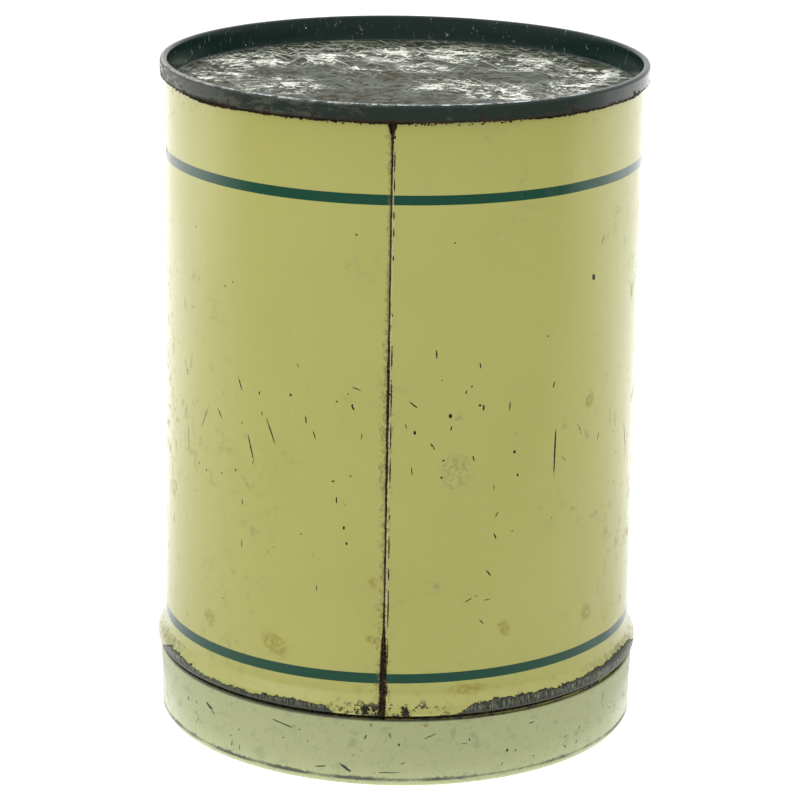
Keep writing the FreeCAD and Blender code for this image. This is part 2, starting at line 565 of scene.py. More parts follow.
    def build(self) -> bpy.types.Material:
        """Make the material.

        Returns:
            The finished material.
        """
        s = Surface("cream_enamel")
        arc, height, _ = s.split(s.attribute("unrolled").outputs["Vector"])
        fine = s.cloud(0.5, 2.0)
        broad = s.cloud(38.0, 3.0, 0.55)
        mottle = s.cloud(4.5, 5.0, 0.7, 0.5)
        bare, broken_edge, chips = self.bead_masks(s, arc, height)
        seam_rust, grime = self.seam_masks(s, arc, height)
        marks = s.marks()

        rim_edge = self.seam_foot - self.round_curve(s, arc, self.rim_rust)
        rim_jags = (s.cloud(1.5, 4.0, 0.7) - 0.5) * 1.7
        rim_rust = s.step(height - (rim_edge + rim_jags), -0.1, 0.15)

        handled = s.step(height, 60.0, 85.0) * s.step(height, 150.0, 115.0)
        smudge_place = mottle + s.step(broad, 0.42, 0.68) * 0.1 + handled * 0.03
        smudges = s.step(smudge_place, 0.62, 0.76)
        flecks = s.step(s.cloud(1.6, 5.0, 0.8) + smudges * 0.1, 0.68, 0.76)
        low_grime = s.step(height, 50.0, 24.0) * s.step(s.cloud(3.0, 4.0, 0.7), 0.52, 0.72)
        pits = (
            s.specks(3.2, 0.5, s.step(broad, 0.46, 0.7) * 0.32)
            | s.specks(1.5, 0.42, s.step(broad, 0.52, 0.72) * 0.07)
        )

        # Painted shade: the paint darkens towards the base seam above, as if shaded by it; the broad cloud
        # adds the paint's own uneven tone.
        painted_rim_shade = s.step(height, 180.0, 208.0)
        shade_share = s.step(broad, 0.3, 0.75) * 0.3 + painted_rim_shade * 0.55
        colour = s.mixed(shade_share, self.paint, self.paint_shade)
        colour = s.mixed(smudges * 0.22, colour, self.scuff_tone)
        colour = s.mixed(flecks * 0.4, colour, self.scuff_tone)
        colour = s.mixed(low_grime * 0.3, colour, self.scuff_tone)
        for stripe in self.stripes:
            sine = s.math("SINE", arc / (self.half_way_round / math.pi))
            middle = sine * stripe.tilt + fine * 0.12 + stripe.height
            away = abs(height - middle)
            away = away - s.math("LESS_THAN", arc, 0.0) * self.stripe_misfit
            ink = s.step(away, stripe.width / 2.0 + 0.07, stripe.width / 2.0 - 0.07)
            colour = s.mixed(ink, colour, self.stripe_green)
        blotch_rag = s.cloud(1.4, 4.0, 0.75)
        scuffed = marks[MarkKind.SCUFF] * s.step(blotch_rag, 0.42, 0.62) * 0.5
        colour = s.mixed(scuffed, colour, self.scuff_tone)
        blotch = marks[MarkKind.STAIN] * s.step(blotch_rag, 0.36, 0.56)
        colour = s.mixed(blotch * 0.8, colour, self.ochre)
        haze = s.step(abs(arc), 66.0, 84.0) * s.band(height, 26.6, 3.4, 0.8)
        haze = haze * s.step(s.cloud(2.6, 5.0, 0.75), 0.42, 0.62) * 0.7
        # Painted highlight: a pale broken strip just beside the side seam's line, standing in for light on
        # the seam's raised edge.
        seam_highlight_place = arc + height / SEAM_SPAN * -self.seam_lean + self.seam_lean / 2.0
        strip = s.band(seam_highlight_place, 0.52, 0.17, 0.12) * s.step(s.cloud(3.0, 3.0, 0.7), 0.34, 0.52)
        strip = strip * s.step(height, 34.0, 50.0)
        colour = s.mixed(strip * 0.75, colour, self.seam_highlight_tone)
        colour = s.mixed(haze, colour, self.haze_tone)
        colour = s.mixed(grime * 0.55, colour, self.grime_tone)

        brushed = s.cloud(1.0, 4.0, 0.75, stretch=(2.5, 2.5, 0.4))
        # Painted highlight: a lighter streaky band along the middle of the stop bead's bare metal, standing
        # in for its reflection of the bright room; the rest of the bare metal stays dark.
        bead_highlight = s.step(brushed, 0.46, 0.66) * s.band(height, 25.9, 1.1, 1.0)
        metal_tone = s.mixed(bead_highlight, self.bare_metal, self.bead_highlight_tone)
        scratched = marks[MarkKind.SCRATCH] | pits * 0.9 | chips
        # Painted shadow: a dark band on the wall in the gap between the stop bead and the lid's rim,
        # coloured with the rust tone.
        gap_shadow = s.band(height + fine * 0.5, self.bead_low - 0.15, 0.42, 0.12)
        in_lid = s.step(height, self.bead_low - 0.4, self.bead_low - 0.9)
        rub = s.cloud(2.2, 4.0, 0.75, stretch=(1.0, 1.0, 0.12))
        low_rub = s.step(height, 14.0, 2.0) * 0.1
        rubbed = in_lid * s.step(rub + low_rub, 0.47, 0.57)
        chipped = bare | scratched | rubbed * 0.5
        # The rust mask also carries the painted shadow in the gap under the bead.
        rust_and_gap_shadow = seam_rust | rim_rust | broken_edge | gap_shadow
        colour = s.mixed(bare, colour, metal_tone)
        colour = s.mixed(rubbed, colour, self.mouth_metal)
        colour = s.mixed(scratched, colour, self.scratch_dark)
        rust_tone = s.mixed(s.step(s.cloud(1.1, 3.0, 0.7), 0.47, 0.64), self.rust, self.rust_light)
        colour = s.mixed(rust_and_gap_shadow, colour, rust_tone)

        rough = s.between(s.step(mottle, 0.45, 0.8), 0.16, 0.30)
        rough = s.between(grime | blotch | marks[MarkKind.SCUFF] | smudges, rough, 0.42)
        rough = s.between(chipped, rough, s.between(brushed, 0.20, 0.42))
        rough = s.between(rust_and_gap_shadow, rough, 0.8)
        metal = bare * (1.0 - rust_and_gap_shadow) * bead_highlight | rubbed * (1.0 - rust_and_gap_shadow) * 0.8
        gloss = s.between(rust_and_gap_shadow | chipped * 0.7, 0.5, 0.12)
        ripple = s.cloud(16.0, 2.0, stretch=(1.0, 1.0, 0.35)) * 0.1
        skin = s.cloud(1.6, 2.0) * 0.006
        relief = ripple + skin + chipped * -0.05 + rust_and_gap_shadow * s.cloud(0.5) * 0.1
        return s.finish(colour, rough, metal, relief, gloss)


@dataclass(frozen=True)
class LidEnamel:
    """Paler, greyer cream enamel on the outside of the lid, duller and more scuffed than the body, with a
    painted shadow along the top edge of its rim.
    """

    paint: Colour = (0.405, 0.435, 0.222)
    paint_shade: Colour = (0.355, 0.385, 0.180)
    bare_metal: Colour = (0.022, 0.026, 0.024)
    ochre: Colour = (0.33, 0.17, 0.03)
    scuff_tone: Colour = (0.22, 0.24, 0.14)
    corner_low: float = 1.9
    corner_high: float = 3.0
    rim: float = 22.0

    def build(self) -> bpy.types.Material:
        """Make the material.

        Returns:
            The finished material.
        """
        s = Surface("lid_enamel")
        height = s.split(s.place)[2]
        fine = s.cloud(0.6, 3.0, 0.65)
        broad = s.cloud(26.0, 3.0, 0.55)
        mottle = s.cloud(3.2, 4.0, 0.7, 0.5)
        marks = s.marks()
        worn_share = s.step(s.cloud(9.0, 4.0, 0.65), 0.3, 0.6)
        jags = (s.cloud(1.6, 5.0, 0.75) - 0.5) * 3.0
        patchy = s.step(height + jags, self.corner_high + 0.5, self.corner_high, 0.0, 1.0)
        patchy = patchy * s.step(height, self.corner_low, self.corner_low + 0.4) * worn_share
        line = s.band(height + fine * 0.6, self.corner_low + 1.1, 0.22, 0.18)
        corner = patchy * 0.85 | line * (worn_share * 0.4 + 0.55)
        # Painted shadow: a thin dark line along the top edge of the lid's rim, where it meets the gap under
        # the body's bead.
        rim_shadow = s.step(height + fine * 0.4, self.rim - 0.15, self.rim + 0.15)
        rubbed = s.step(mottle, 0.52, 0.68) * 0.42
        specks = s.specks(2.0, 0.45, s.step(broad, 0.42, 0.7) * 0.3)
        # Besides the real wear, this mask carries the painted rim shadow.
        chipped = corner | rim_shadow * 0.7 | marks[MarkKind.SCRATCH] | specks * 0.8

        colour = s.mixed(s.step(broad, 0.3, 0.7) * 0.4, self.paint, self.paint_shade)
        colour = s.mixed(rubbed, colour, self.scuff_tone)
        colour = s.mixed(marks[MarkKind.SCUFF] * 0.38, colour, self.scuff_tone)
        colour = s.mixed(marks[MarkKind.STAIN] * 0.8, colour, self.ochre)
        colour = s.mixed(chipped, colour, self.bare_metal)
        rough = s.between(s.step(mottle, 0.4, 0.75), 0.27, 0.42)
        rough = s.between(chipped, rough, 0.5)
        relief = (
            s.cloud(9.0, 2.0, stretch=(1.0, 1.0, 0.5)) * 0.05
            + s.cloud(1.4, 2.0) * 0.008
            + chipped * -0.04
        )
        return s.finish(colour, rough, chipped * 0.3, relief)


@dataclass(frozen=True)
class WornPatch:
    """A worn place on the base panel: its middle and its reach, in millimetres."""

    x: float
    y: float
    reach: float


@dataclass(frozen=True)
class BaseLacquer:
    """Dark green lacquer on the base, worn through to tinplate on the panel and along the seam, with a
    painted highlight along the crown's front edge.
    """

    lacquer: Colour = (0.007, 0.024, 0.019)
    panel_grey: Colour = (0.012, 0.021, 0.010)
    panel_light: Colour = (0.048, 0.076, 0.034)
    worn_grey: Colour = (0.085, 0.085, 0.062)
    tin: Colour = (0.95, 0.97, 0.86)
    # Painted highlight along the front of the crown: its colour and the radius it runs at.
    crown_highlight_tone: Colour = (0.72, 0.78, 0.82)
    crown_highlight: float = 75.7
    rust: Colour = (0.026, 0.015, 0.007)
    grime: Colour = (0.040, 0.027, 0.009)
    seam_tone: Colour = (0.028, 0.034, 0.026)
    dark: Colour = (0.006, 0.006, 0.005)
    panel_height: float = 205.6
    crown_height: float = 213.6
    seam_foot: float = 208.3
    seam_radius: float = 75.6
    patches: tuple[WornPatch, ...] = (
        WornPatch(-50, 30, 20), WornPatch(-32, 40, 18), WornPatch(-8, 46, 19), WornPatch(14, 49, 18),
        WornPatch(36, 36, 18), WornPatch(58, 20, 18), WornPatch(-60, 6, 17), WornPatch(-38, -10, 18),
        WornPatch(14, -4, 16), WornPatch(32, -14, 20), WornPatch(56, -4, 18), WornPatch(4, 26, 12),
        WornPatch(10, -52, 12), WornPatch(-30, -55, 10), WornPatch(-14, 20, 10),
    )
    brown_patches: tuple[WornPatch, ...] = (
        WornPatch(18, 4, 20), WornPatch(-16, -34, 22), WornPatch(-6, 12, 12), WornPatch(40, -34, 12),
    )

    def field(self, surface: Surface, patches: Sequence[WornPatch]) -> Term:
        """Return a soft mask about chosen places of the panel.

        Args:
            surface: the shader to add to.
            patches: the places.

        Returns:
            A mask from 0 to 1.
        """
        x, y, _ = surface.split(surface.place)
        field_value = None
        for patch in patches:
            across = x - patch.x
            along = y - patch.y
            reach = surface.math("SQRT", across * across + along * along)
            near = surface.step(reach, patch.reach * 1.3, patch.reach * 0.2)
            field_value = near if field_value is None else field_value | near
        return field_value

    def build(self) -> bpy.types.Material:
        """Make the material.

        Returns:
            The finished material.
        """
        s = Surface("base_lacquer")
        x, y, height = s.split(s.place)
        radius = s.math("SQRT", x * x + y * y)
        on_panel = (
            s.step(height, self.panel_height + 0.9, self.panel_height + 0.3)
            * s.step(radius, 73.4, 72.4)
        )
        outside = s.step(radius, self.seam_radius - 0.5, self.seam_radius)
        fine = s.cloud(0.5, 3.0, 0.7)
        grain = s.cloud(2.1, 5.0, 0.8, 1.0, stretch=(0.75, 0.9, 1.0))
        broad = s.cloud(20.0, 3.0, 0.6)
        uneven = s.cloud(8.0, 4.0, 0.7, 0.6)

        wear = self.field(s, self.patches) * s.step(uneven, 0.3, 0.62)
        flaked = s.step(wear * 0.25 + grain, 0.68, 0.72)
        hairs = (
            s.streaks(15.0, 0.25, 14.0, 0.6)
            | s.streaks(-35.0, 0.22, 18.0, 0.62)
            | s.streaks(75.0, 0.25, 12.0, 0.62)
            | s.streaks(118.0, 0.25, 16.0, 0.61)
        )
        cuts = (
            s.streaks(48.0, 0.25, 26.0, 0.64)
            | s.streaks(-12.0, 0.22, 30.0, 0.65)
            | s.streaks(100.0, 0.22, 26.0, 0.65)
        )
        back = s.step(y, 10.0, 55.0) * 0.3
        bright = (flaked | hairs * (wear * 0.6 + back + 0.1)) * on_panel
        brown_place = s.cloud(4.2, 6.0, 0.8, 0.6) + self.field(s, self.brown_patches) * 0.055
        brown = s.step(brown_place, 0.5, 0.57) * on_panel

        wall_specks = s.specks(2.6, 0.55, s.step(broad, 0.44, 0.64) * 0.55)
        on_wall = (1.0 - on_panel) * (1.0 - outside)
        at_back = s.step(y, 20.0, 60.0, 0.45, 0.9)
        scrapes = s.step(s.cloud(1.8, 5.0, 0.8, stretch=(1.0, 1.0, 0.5)), 0.6, 0.7)
        wall_wear = on_wall * (wall_specks * at_back | scrapes * 0.35)

        rubbed = s.step(s.cloud(5.0, 5.0, 0.75, stretch=(1.0, 1.0, 2.5)) + x * -0.0018, 0.5, 0.66)
        # Painted highlight: where the seam is rubbed, the crown's top edge turns tin-coloured, standing in
        # for a bright reflection.
        crown_edge_highlight = s.step(height + fine * 0.6, self.crown_height - 0.2, self.crown_height + 0.25)
        seam_wear = outside * rubbed
        seam_rust_line = height + (s.cloud(2.0, 4.0, 0.7) - 0.5) * -3.0
        seam_rust = outside * s.step(seam_rust_line, self.seam_foot + 1.0, self.seam_foot + 0.2)
        spots = outside * s.step(s.cloud(3.4, 4.0, 0.7), 0.56, 0.66) * s.step(height, 212.0, 209.5)

        colour = s.mixed(
            on_panel,
            self.lacquer,
            s.mixed(s.step(uneven, 0.35, 0.65), self.panel_grey, self.panel_light),
        )
        colour = s.mixed(brown * 0.95, colour, self.grime)
        colour = s.mixed(outside * 0.6, colour, self.seam_tone)
        colour = s.mixed(seam_wear * 0.6, colour, self.worn_grey)
        colour = s.mixed(seam_rust | spots, colour, self.rust)
        colour = s.mixed(cuts * on_panel * 0.85, colour, self.dark)
        # The shine mask joins the worn tin with the painted crown-edge highlight.
        shine = bright | wall_wear | crown_edge_highlight * seam_wear * 0.35
        colour = s.mixed(shine, colour, self.tin)
        # Painted highlight: broken light metallic dashes along the crown's front edge, only on the side
        # that faces the viewer, standing in for a reflection of the bright room.
        dashes = s.step(s.cloud(3.5, 4.0, 0.75), 0.46, 0.6)
        front = s.step(y / radius, -0.55, -0.85)
        crown_highlight = (
            s.band(radius, self.crown_highlight, 0.32, 0.12)
            * s.step(height, 213.0, 213.3)
            * dashes
            * front
        )
        colour = s.mixed(crown_highlight, colour, self.crown_highlight_tone)

        rough = s.between(on_panel, 0.14, 0.42)
        rough = s.between(seam_wear | brown, rough, 0.5)
        rough = s.between(shine, rough, 0.45)
        rough = s.between(seam_rust | spots, rough, 0.8)
        relief = (
            grain * 0.02
            + shine * -0.03
            + cuts * on_panel * -0.04
            + s.cloud(7.0, 2.0) * 0.05
            + (seam_rust | spots) * fine * 0.08
        )
        gloss = s.between(on_panel, 0.26, s.between(brown | cuts, 0.23, 0.05))
        return s.finish(colour, rough, shine * 0.15 | crown_highlight, relief, gloss)


@dataclass(frozen=True)
class BareTinplate:
    """Dull bare tinplate with a faint crystalline spangle, as on the unpainted inside."""

    name: str = "bare_tinplate"
    light: Colour = (0.62, 0.62, 0.60)
    dark: Colour = (0.40, 0.40, 0.39)
    rust: Colour = (0.16, 0.075, 0.03)

    def build(self) -> bpy.types.Material:
        """Make the material.

        Returns:
            The finished material.
        """
        s = Surface(self.name)
        spangle = s.split(s.cells(s.place, 5.0).outputs["Color"])[0]
        cloud = s.cloud(12.0, 4.0, 0.6)
        freckles = s.specks(3.0, 0.5, s.step(cloud, 0.45, 0.7) * 0.3)
        colour = s.mixed(s.between(0.4, cloud, spangle), self.dark, self.light)
        colour = s.mixed(freckles * 0.8, colour, self.rust)
        rough = s.between(freckles, s.between(cloud, 0.24, 0.42), 0.8)
        relief = s.cloud(20.0, 2.0) * 0.08 + spangle * 0.004
        return s.finish(colour, rough, (1.0 - freckles) * 0.95, relief)


@dataclass(frozen=True)
class RustySolder:
    """Dark, crusty old solder and rust."""

    name: str = "rusty_solder"
    dark: Colour = (0.010, 0.008, 0.005)
    brown: Colour = (0.078, 0.040, 0.012)
    grey: Colour = (0.050, 0.048, 0.038)
    grey_share: float = 0.4

    def build(self) -> bpy.types.Material:
        """Make the material.

        Returns:
            The finished material.
        """
        s = Surface(self.name)
        crust = s.cloud(0.8, 4.0, 0.7)
        cloud = s.cloud(6.0, 3.0, 0.6)
        colour = s.mixed(s.step(crust, 0.42, 0.66), self.dark, self.brown)
        colour = s.mixed(s.step(cloud, 0.48, 0.62) * self.grey_share, colour, self.grey)
        return s.finish(colour, s.between(cloud, 0.55, 0.9), 0.1, crust * 0.12, 0.2)


@dataclass(frozen=True)
class DrawnWire:
    """Drawn steel wire with fine lines along it."""

    steel: Colour = (0.42, 0.42, 0.43)
    dull: Colour = (0.25, 0.24, 0.22)

    def build(self) -> bpy.types.Material:
        """Make the material.

        Returns:
            The finished material.
        """
        s = Surface("drawn_wire")
        lines = s.cloud(1.0, 3.0, stretch=(0.4, 0.4, 8.0))
        cloud = s.cloud(5.0, 3.0)
        colour = s.mixed(cloud, self.steel, self.dull)
        return s.finish(colour, s.between(lines, 0.25, 0.45), 0.9, lines * 0.01)


@dataclass(frozen=True)
class PaleFloor:
    """Plain matt white paper that glows round the tin's foot and whose reflections grow brighter away from
    the viewer.
    """

    paper: Colour = (0.94, 0.94, 0.93)
    fill: float = 0.25
    glow_middle: float = 1.0
    glow_slope: float = 3.4
    glow_lean: float = -0.35
    glow_least: float = 0.22
    glow_most: float = 1.85
    near_glow: float = 0.7

    def build(self) -> bpy.types.Material:
        """Make the material.

        Returns:
            The finished material.
        """
        s = Surface("pale_floor")
        s.finish(self.paper, 0.9, specular=0.1)
        x, y, _ = s.split(s.place)
        reach = s.math("SQRT", x * x + y * y)
        # Painted glow: the floor round the tin emits light for every ray, which lights the lid's foot from
        # below and brightens its reflection of the floor.
        near = s.step(reach, 94.0, 78.0, 0.0, self.near_glow)
        s.feed(s.shader_node.inputs["Emission Color"], self.paper)
        seen = Term(s, s.node("ShaderNodeLightPath").outputs["Is Camera Ray"])
        s.feed(s.shader_node.inputs["Emission Strength"], seen * self.fill + near)
        glow = s.node("ShaderNodeEmission")
        slope = y * (self.glow_slope * MM) + x * (self.glow_lean * MM) + near * 2.0
        held = s.node(
            "ShaderNodeClamp", {0: slope + self.glow_middle, 1: self.glow_least, 2: self.glow_most}
        )
        s.feed(glow.inputs["Strength"], held.outputs[0])
        joined = s.node(
            "ShaderNodeMixShader",
            {
                0: s.node("ShaderNodeLightPath").outputs["Is Glossy Ray"],
                1: s.shader_node.outputs[0],
                2: glow.outputs[0],
            },
        )
        s.feed(s.tree.nodes["Material Output"].inputs[0], joined.outputs[0])
        return s.material


# ---------------------------------------------------------------------------------------------
# Sheet-metal sections
# ---------------------------------------------------------------------------------------------


@dataclass(frozen=True)
class Corner:
    """A corner of a section's path: radius, height and bend radius, in millimetres."""

    radius: float
    height: float
    bend: float = 0.0


@dataclass
class Section:
    """The closed outline of a sheet that follows a path, as its two skins.

    The outside skin comes first, from the path's start to its end, and then the inside skin
    comes back.
    """

    path: list[Corner]
    sheet: float
    outside: Skin
    longest_step: float = 1.75
    hidden_step: float = 4.0
    bend_step: float = 15.0

    def skin(self, side: Skin) -> list[tuple[float, float]]:
        """Return the points of one skin, in the direction of the path.

        Args:
            side: which face of the sheet.

        Returns:
            (radius, height) pairs in millimetres.
        """
        offset = side.value * self.sheet / 2.0
        corners = [Vector((corner.radius, corner.height)) for corner in self.path]
        points: list[Vector] = []
        run_start = corners[0]
        for index in range(1, len(corners)):
            along = (corners[index] - corners[index - 1]).normalized()
            normal = Vector((-along.y, along.x))
            if index == len(corners) - 1:
                self.add_run(points, run_start + normal * offset, corners[index] + normal * offset)
                break
            after = (corners[index + 1] - corners[index]).normalized()
            turn = along.angle_signed(after) * -1.0
            bend = self.path[index].bend
            reach = bend * math.tan(abs(turn) / 2.0)
            bend_start = corners[index] - along * reach
            self.add_run(points, run_start + normal * offset, bend_start + normal * offset)
            side_sign = math.copysign(1.0, turn)
            centre = bend_start + normal * side_sign * bend
            arm = (bend_start - centre) * ((bend - side_sign * offset) / bend)
            steps = max(3, math.ceil(abs(math.degrees(turn)) / self.bend_step))
            for step in range(1, steps + 1):
                points.append(centre + Matrix.Rotation(turn * step / steps, 2) @ arm)
            run_start = corners[index] + after * reach
        return [(point.x, point.y) for point in points]

    def add_run(self, points: list[Vector], start: Vector, end: Vector) -> None:
        """Add a straight run to a skin, in steps that are short enough.

        Args:
            points: the skin so far.
            start: where the run begins.
            end: where it ends.
        """
        if not points:
            points.append(start)
        length = (end - points[-1]).length
        if length < 1e-4:
            return
        steps = max(1, math.ceil(length / self.longest_step))
        first = points[-1].copy()
        for step in range(1, steps + 1):
            points.append(first.lerp(end, step / steps))

    def outline(self) -> tuple[list[tuple[float, float]], int]:
        """Return the closed outline and how many of its points are on the outside skin."""
        inside = Skin.RIGHT if self.outside is Skin.LEFT else Skin.LEFT
        outer = self.skin(self.outside)
        seen_step, self.longest_step = self.longest_step, self.hidden_step
        inner = self.skin(inside)
        self.longest_step = seen_step
        return outer + inner[::-1], len(outer)


# ---------------------------------------------------------------------------------------------
# Geometry node trees
# ---------------------------------------------------------------------------------------------


class ShapeTree(Graph):
    """A geometry node tree with named inputs, which makes one plain mesh."""

    def __init__(self, name: str) -> None:
        """Start an empty tree.

        Args:
            name: the tree's name.
        """
        tree = bpy.data.node_groups.new(name, "GeometryNodeTree")
        tree.interface.new_socket("Geometry", in_out="OUTPUT", socket_type="NodeSocketGeometry")
        super().__init__(tree)
        self.entry = self.node("NodeGroupInput")
        self.exit = self.node("NodeGroupOutput")
        self.identifiers: dict[str, str] = {}

    def input(self, name: str, kind: str) -> Term:
        """Add a named input.

        Args:
            name: the input's name.
            kind: its socket's class name, without the leading NodeSocket.

        Returns:
            The socket that carries it.
        """
        item = self.tree.interface.new_socket(name, in_out="INPUT", socket_type="NodeSocket" + kind)
        self.identifiers[name] = item.identifier
        return Term(self, self.entry.outputs[name])

    def end(self, geometry: Term, finishes: Sequence[tuple[Socket, Value]]) -> None:
        """Close the tree with Realize Instances and a Set Material for each finish.

        Args:
            geometry: what the tree has made.
            finishes: (material, selection) pairs; a selection of None means every face.
        """
        made = self.node("GeometryNodeRealizeInstances", {0: geometry})
        for finish, chosen in finishes:
            dressed = self.node(
                "GeometryNodeSetMaterial",
                {"Geometry": made.outputs[0], "Selection": chosen, "Material": finish},
            )
            made = dressed
        self.feed(self.exit.inputs[0], made.outputs[0])

    def make(self, name: str, values: dict[str, object]) -> bpy.types.Object:
        """Evaluate the tree with given inputs and return the result as a plain mesh object.

        Args:
            name: the name of the new object.
            values: a value for each named input.

        Returns:
            The object, linked to the scene, with no modifier.
        """
        carrier = bpy.data.objects.new(name + "_carrier", bpy.data.meshes.new(name + "_carrier"))
        bpy.context.scene.collection.objects.link(carrier)
        modifier = carrier.modifiers.new("shape", "NODES")
        modifier.node_group = self.tree
        for key, value in values.items():
            modifier[self.identifiers[key]] = value
        seen = carrier.evaluated_get(bpy.context.evaluated_depsgraph_get())
        mesh = bpy.data.meshes.new_from_object(seen)
        mesh.name = name
        carrier.modifiers.clear()
        bpy.data.objects.remove(carrier)
        made = bpy.data.objects.new(name, mesh)
        bpy.context.scene.collection.objects.link(made)
        return made


class TurnedSheet(ShapeTree):
    """Turns a closed section about Z into a sheet-metal shape with a slightly uneven surface.

    Columns crowd together towards -Y, where the side seam is. Both skins of the sheet move
    together, so the sheet keeps its thickness.
    """

    def __init__(self) -> None:
        """Build the tree."""
        super().__init__("turned_sheet")
        section = self.input("Section", "Object")
        columns = self.input("Columns", "Int")
        crowding = self.input("Crowding", "Float")
        wave = self.input("Wave Height", "Float")
        wave_size = self.input("Wave Size", "Float")
        seed = self.input("Seed", "Float")
        radius = self.input("Wave Radius", "Float")
        outside_rows = self.input("Outside Rows", "Int")
        outside_finish = self.input("Outside Finish", "Material")
        inside_finish = self.input("Inside Finish", "Material")

        outline = self.node("GeometryNodeObjectInfo", {"Object": section})
        count = self.node("GeometryNodeAttributeDomainSize", {0: outline.outputs["Geometry"]})
        rows = Term(self, count.outputs["Point Count"])
        grid = self.node(
            "GeometryNodeMeshGrid", {"Vertices X": columns + 1.0, "Vertices Y": rows + 1.0}
        )

        index = Term(self, self.node("GeometryNodeInputIndex").outputs[0])
        line = rows + 1.0
        column = self.math("FLOOR", (index + 0.5) / line)
        row = self.math("FLOOR", index - column * line + 0.5)
        share = column / columns - 0.5
        turn = share * math.tau
        angle = turn - crowding * self.math("SINE", turn)

        taken = self.node(
            "GeometryNodeSampleIndex",
            {
                "Geometry": outline.outputs["Geometry"],
                "Value": self.node("GeometryNodeInputPosition").outputs[0],
                "Index": self.math("FLOORED_MODULO", row, rows),
            },
            data_type="FLOAT_VECTOR",
            domain="POINT",
        )
        out, _, up = self.split(taken.outputs[0])
        sine = self.math("SINE", angle)
        cosine = self.math("COSINE", angle) * -1.0
        course = self.joined(radius * sine, radius * cosine, up)
        offset = self.node(
            "ShaderNodeVectorMath", {0: course, 1: self.joined(seed, 0.0, 0.0)}, operation="ADD"
        )
        rough = self.node(
            "ShaderNodeTexNoise",
            {"Vector": offset.outputs[0], "Scale": 1.0 / wave_size, "Detail": 1.5},
            noise_dimensions="3D",
        )
        lift = (Term(self, rough.outputs[0]) - 0.5) * wave
        reach = out + lift * self.step(out, 0.0, 0.05)
        placed = self.node(
            "GeometryNodeSetPosition",
            {
                "Geometry": grid.outputs["Mesh"],
                "Position": self.joined(reach * sine, reach * cosine, up),
            },
        )

        marked = self.stored(placed.outputs[0], "row", row)
        merged = self.node("GeometryNodeMergeByDistance", {"Geometry": marked, "Distance": 2e-6})
        smooth = self.node("GeometryNodeSetShadeSmooth", {"Geometry": merged.outputs[0]})
        inner = self.math("GREATER_THAN", self.row_of_face(), outside_rows - 1.0)
        self.end(smooth.outputs[0], [(outside_finish, None), (inside_finish, inner)])

    def stored(self, geometry: Term, name: str, value: Term) -> Term:
        """Keep a number on every vertex as a named attribute.

        Args:
            geometry: the mesh.
            name: the attribute's name.
            value: the number.

        Returns:
            The mesh with the attribute.
        """
        made = self.node(
            "GeometryNodeStoreNamedAttribute",
            {"Geometry": geometry, "Name": name, "Value": value},
            data_type="FLOAT",
            domain="POINT",
        )
        return Term(self, made.outputs[0])

    def row_of_face(self) -> Term:
        """Return the mean row of a face's vertices, as stored."""
        made = self.node("GeometryNodeInputNamedAttribute", {"Name": "row"}, data_type="FLOAT")
        return Term(self, made.outputs[0])


class SolderBead(ShapeTree):
    """Runs a flattened, lumpy bead of solder along a path."""

    def __init__(self) -> None:
        """Build the tree."""
        super().__init__("solder_bead")
        path = self.input("Path", "Object")
        width = self.input("Width", "Float")
        step = self.input("Step", "Float")
        unevenness = self.input("Unevenness", "Float")
        seed = self.input("Seed", "Float")
        finish = self.input("Finish", "Material")

        route = self.node("GeometryNodeObjectInfo", {"Object": path})
        line = self.node("GeometryNodeMeshToCurve", {"Mesh": route.outputs["Geometry"]})
        even = self.node(
            "GeometryNodeResampleCurve", {"Curve": line.outputs[0], "Length": step}, mode="LENGTH"
        )
        place = self.node("GeometryNodeInputPosition").outputs[0]
        moved = self.node(
            "ShaderNodeVectorMath", {0: place, 1: self.joined(seed, 0.0, 0.0)}, operation="ADD"
        )
        lumps = self.node(
            "ShaderNodeTexNoise",
            {"Vector": moved.outputs[0], "Scale": 1.0 / (1.4 * MM), "Detail": 3.0},
            noise_dimensions="3D",
        )
        girth = 1.0 - unevenness * lumps.outputs[0]
        ring = self.node("GeometryNodeCurvePrimitiveCircle", {"Resolution": 8, "Radius": width / 2.0})
        swept = self.node(
            "GeometryNodeCurveToMesh",
            {
                "Curve": even.outputs[0],
                "Profile Curve": ring.outputs[0],
                "Scale": girth,
                "Fill Caps": True,
            },
        )
        smooth = self.node("GeometryNodeSetShadeSmooth", {"Geometry": swept.outputs[0]})
        self.end(smooth.outputs[0], [(finish, None)])


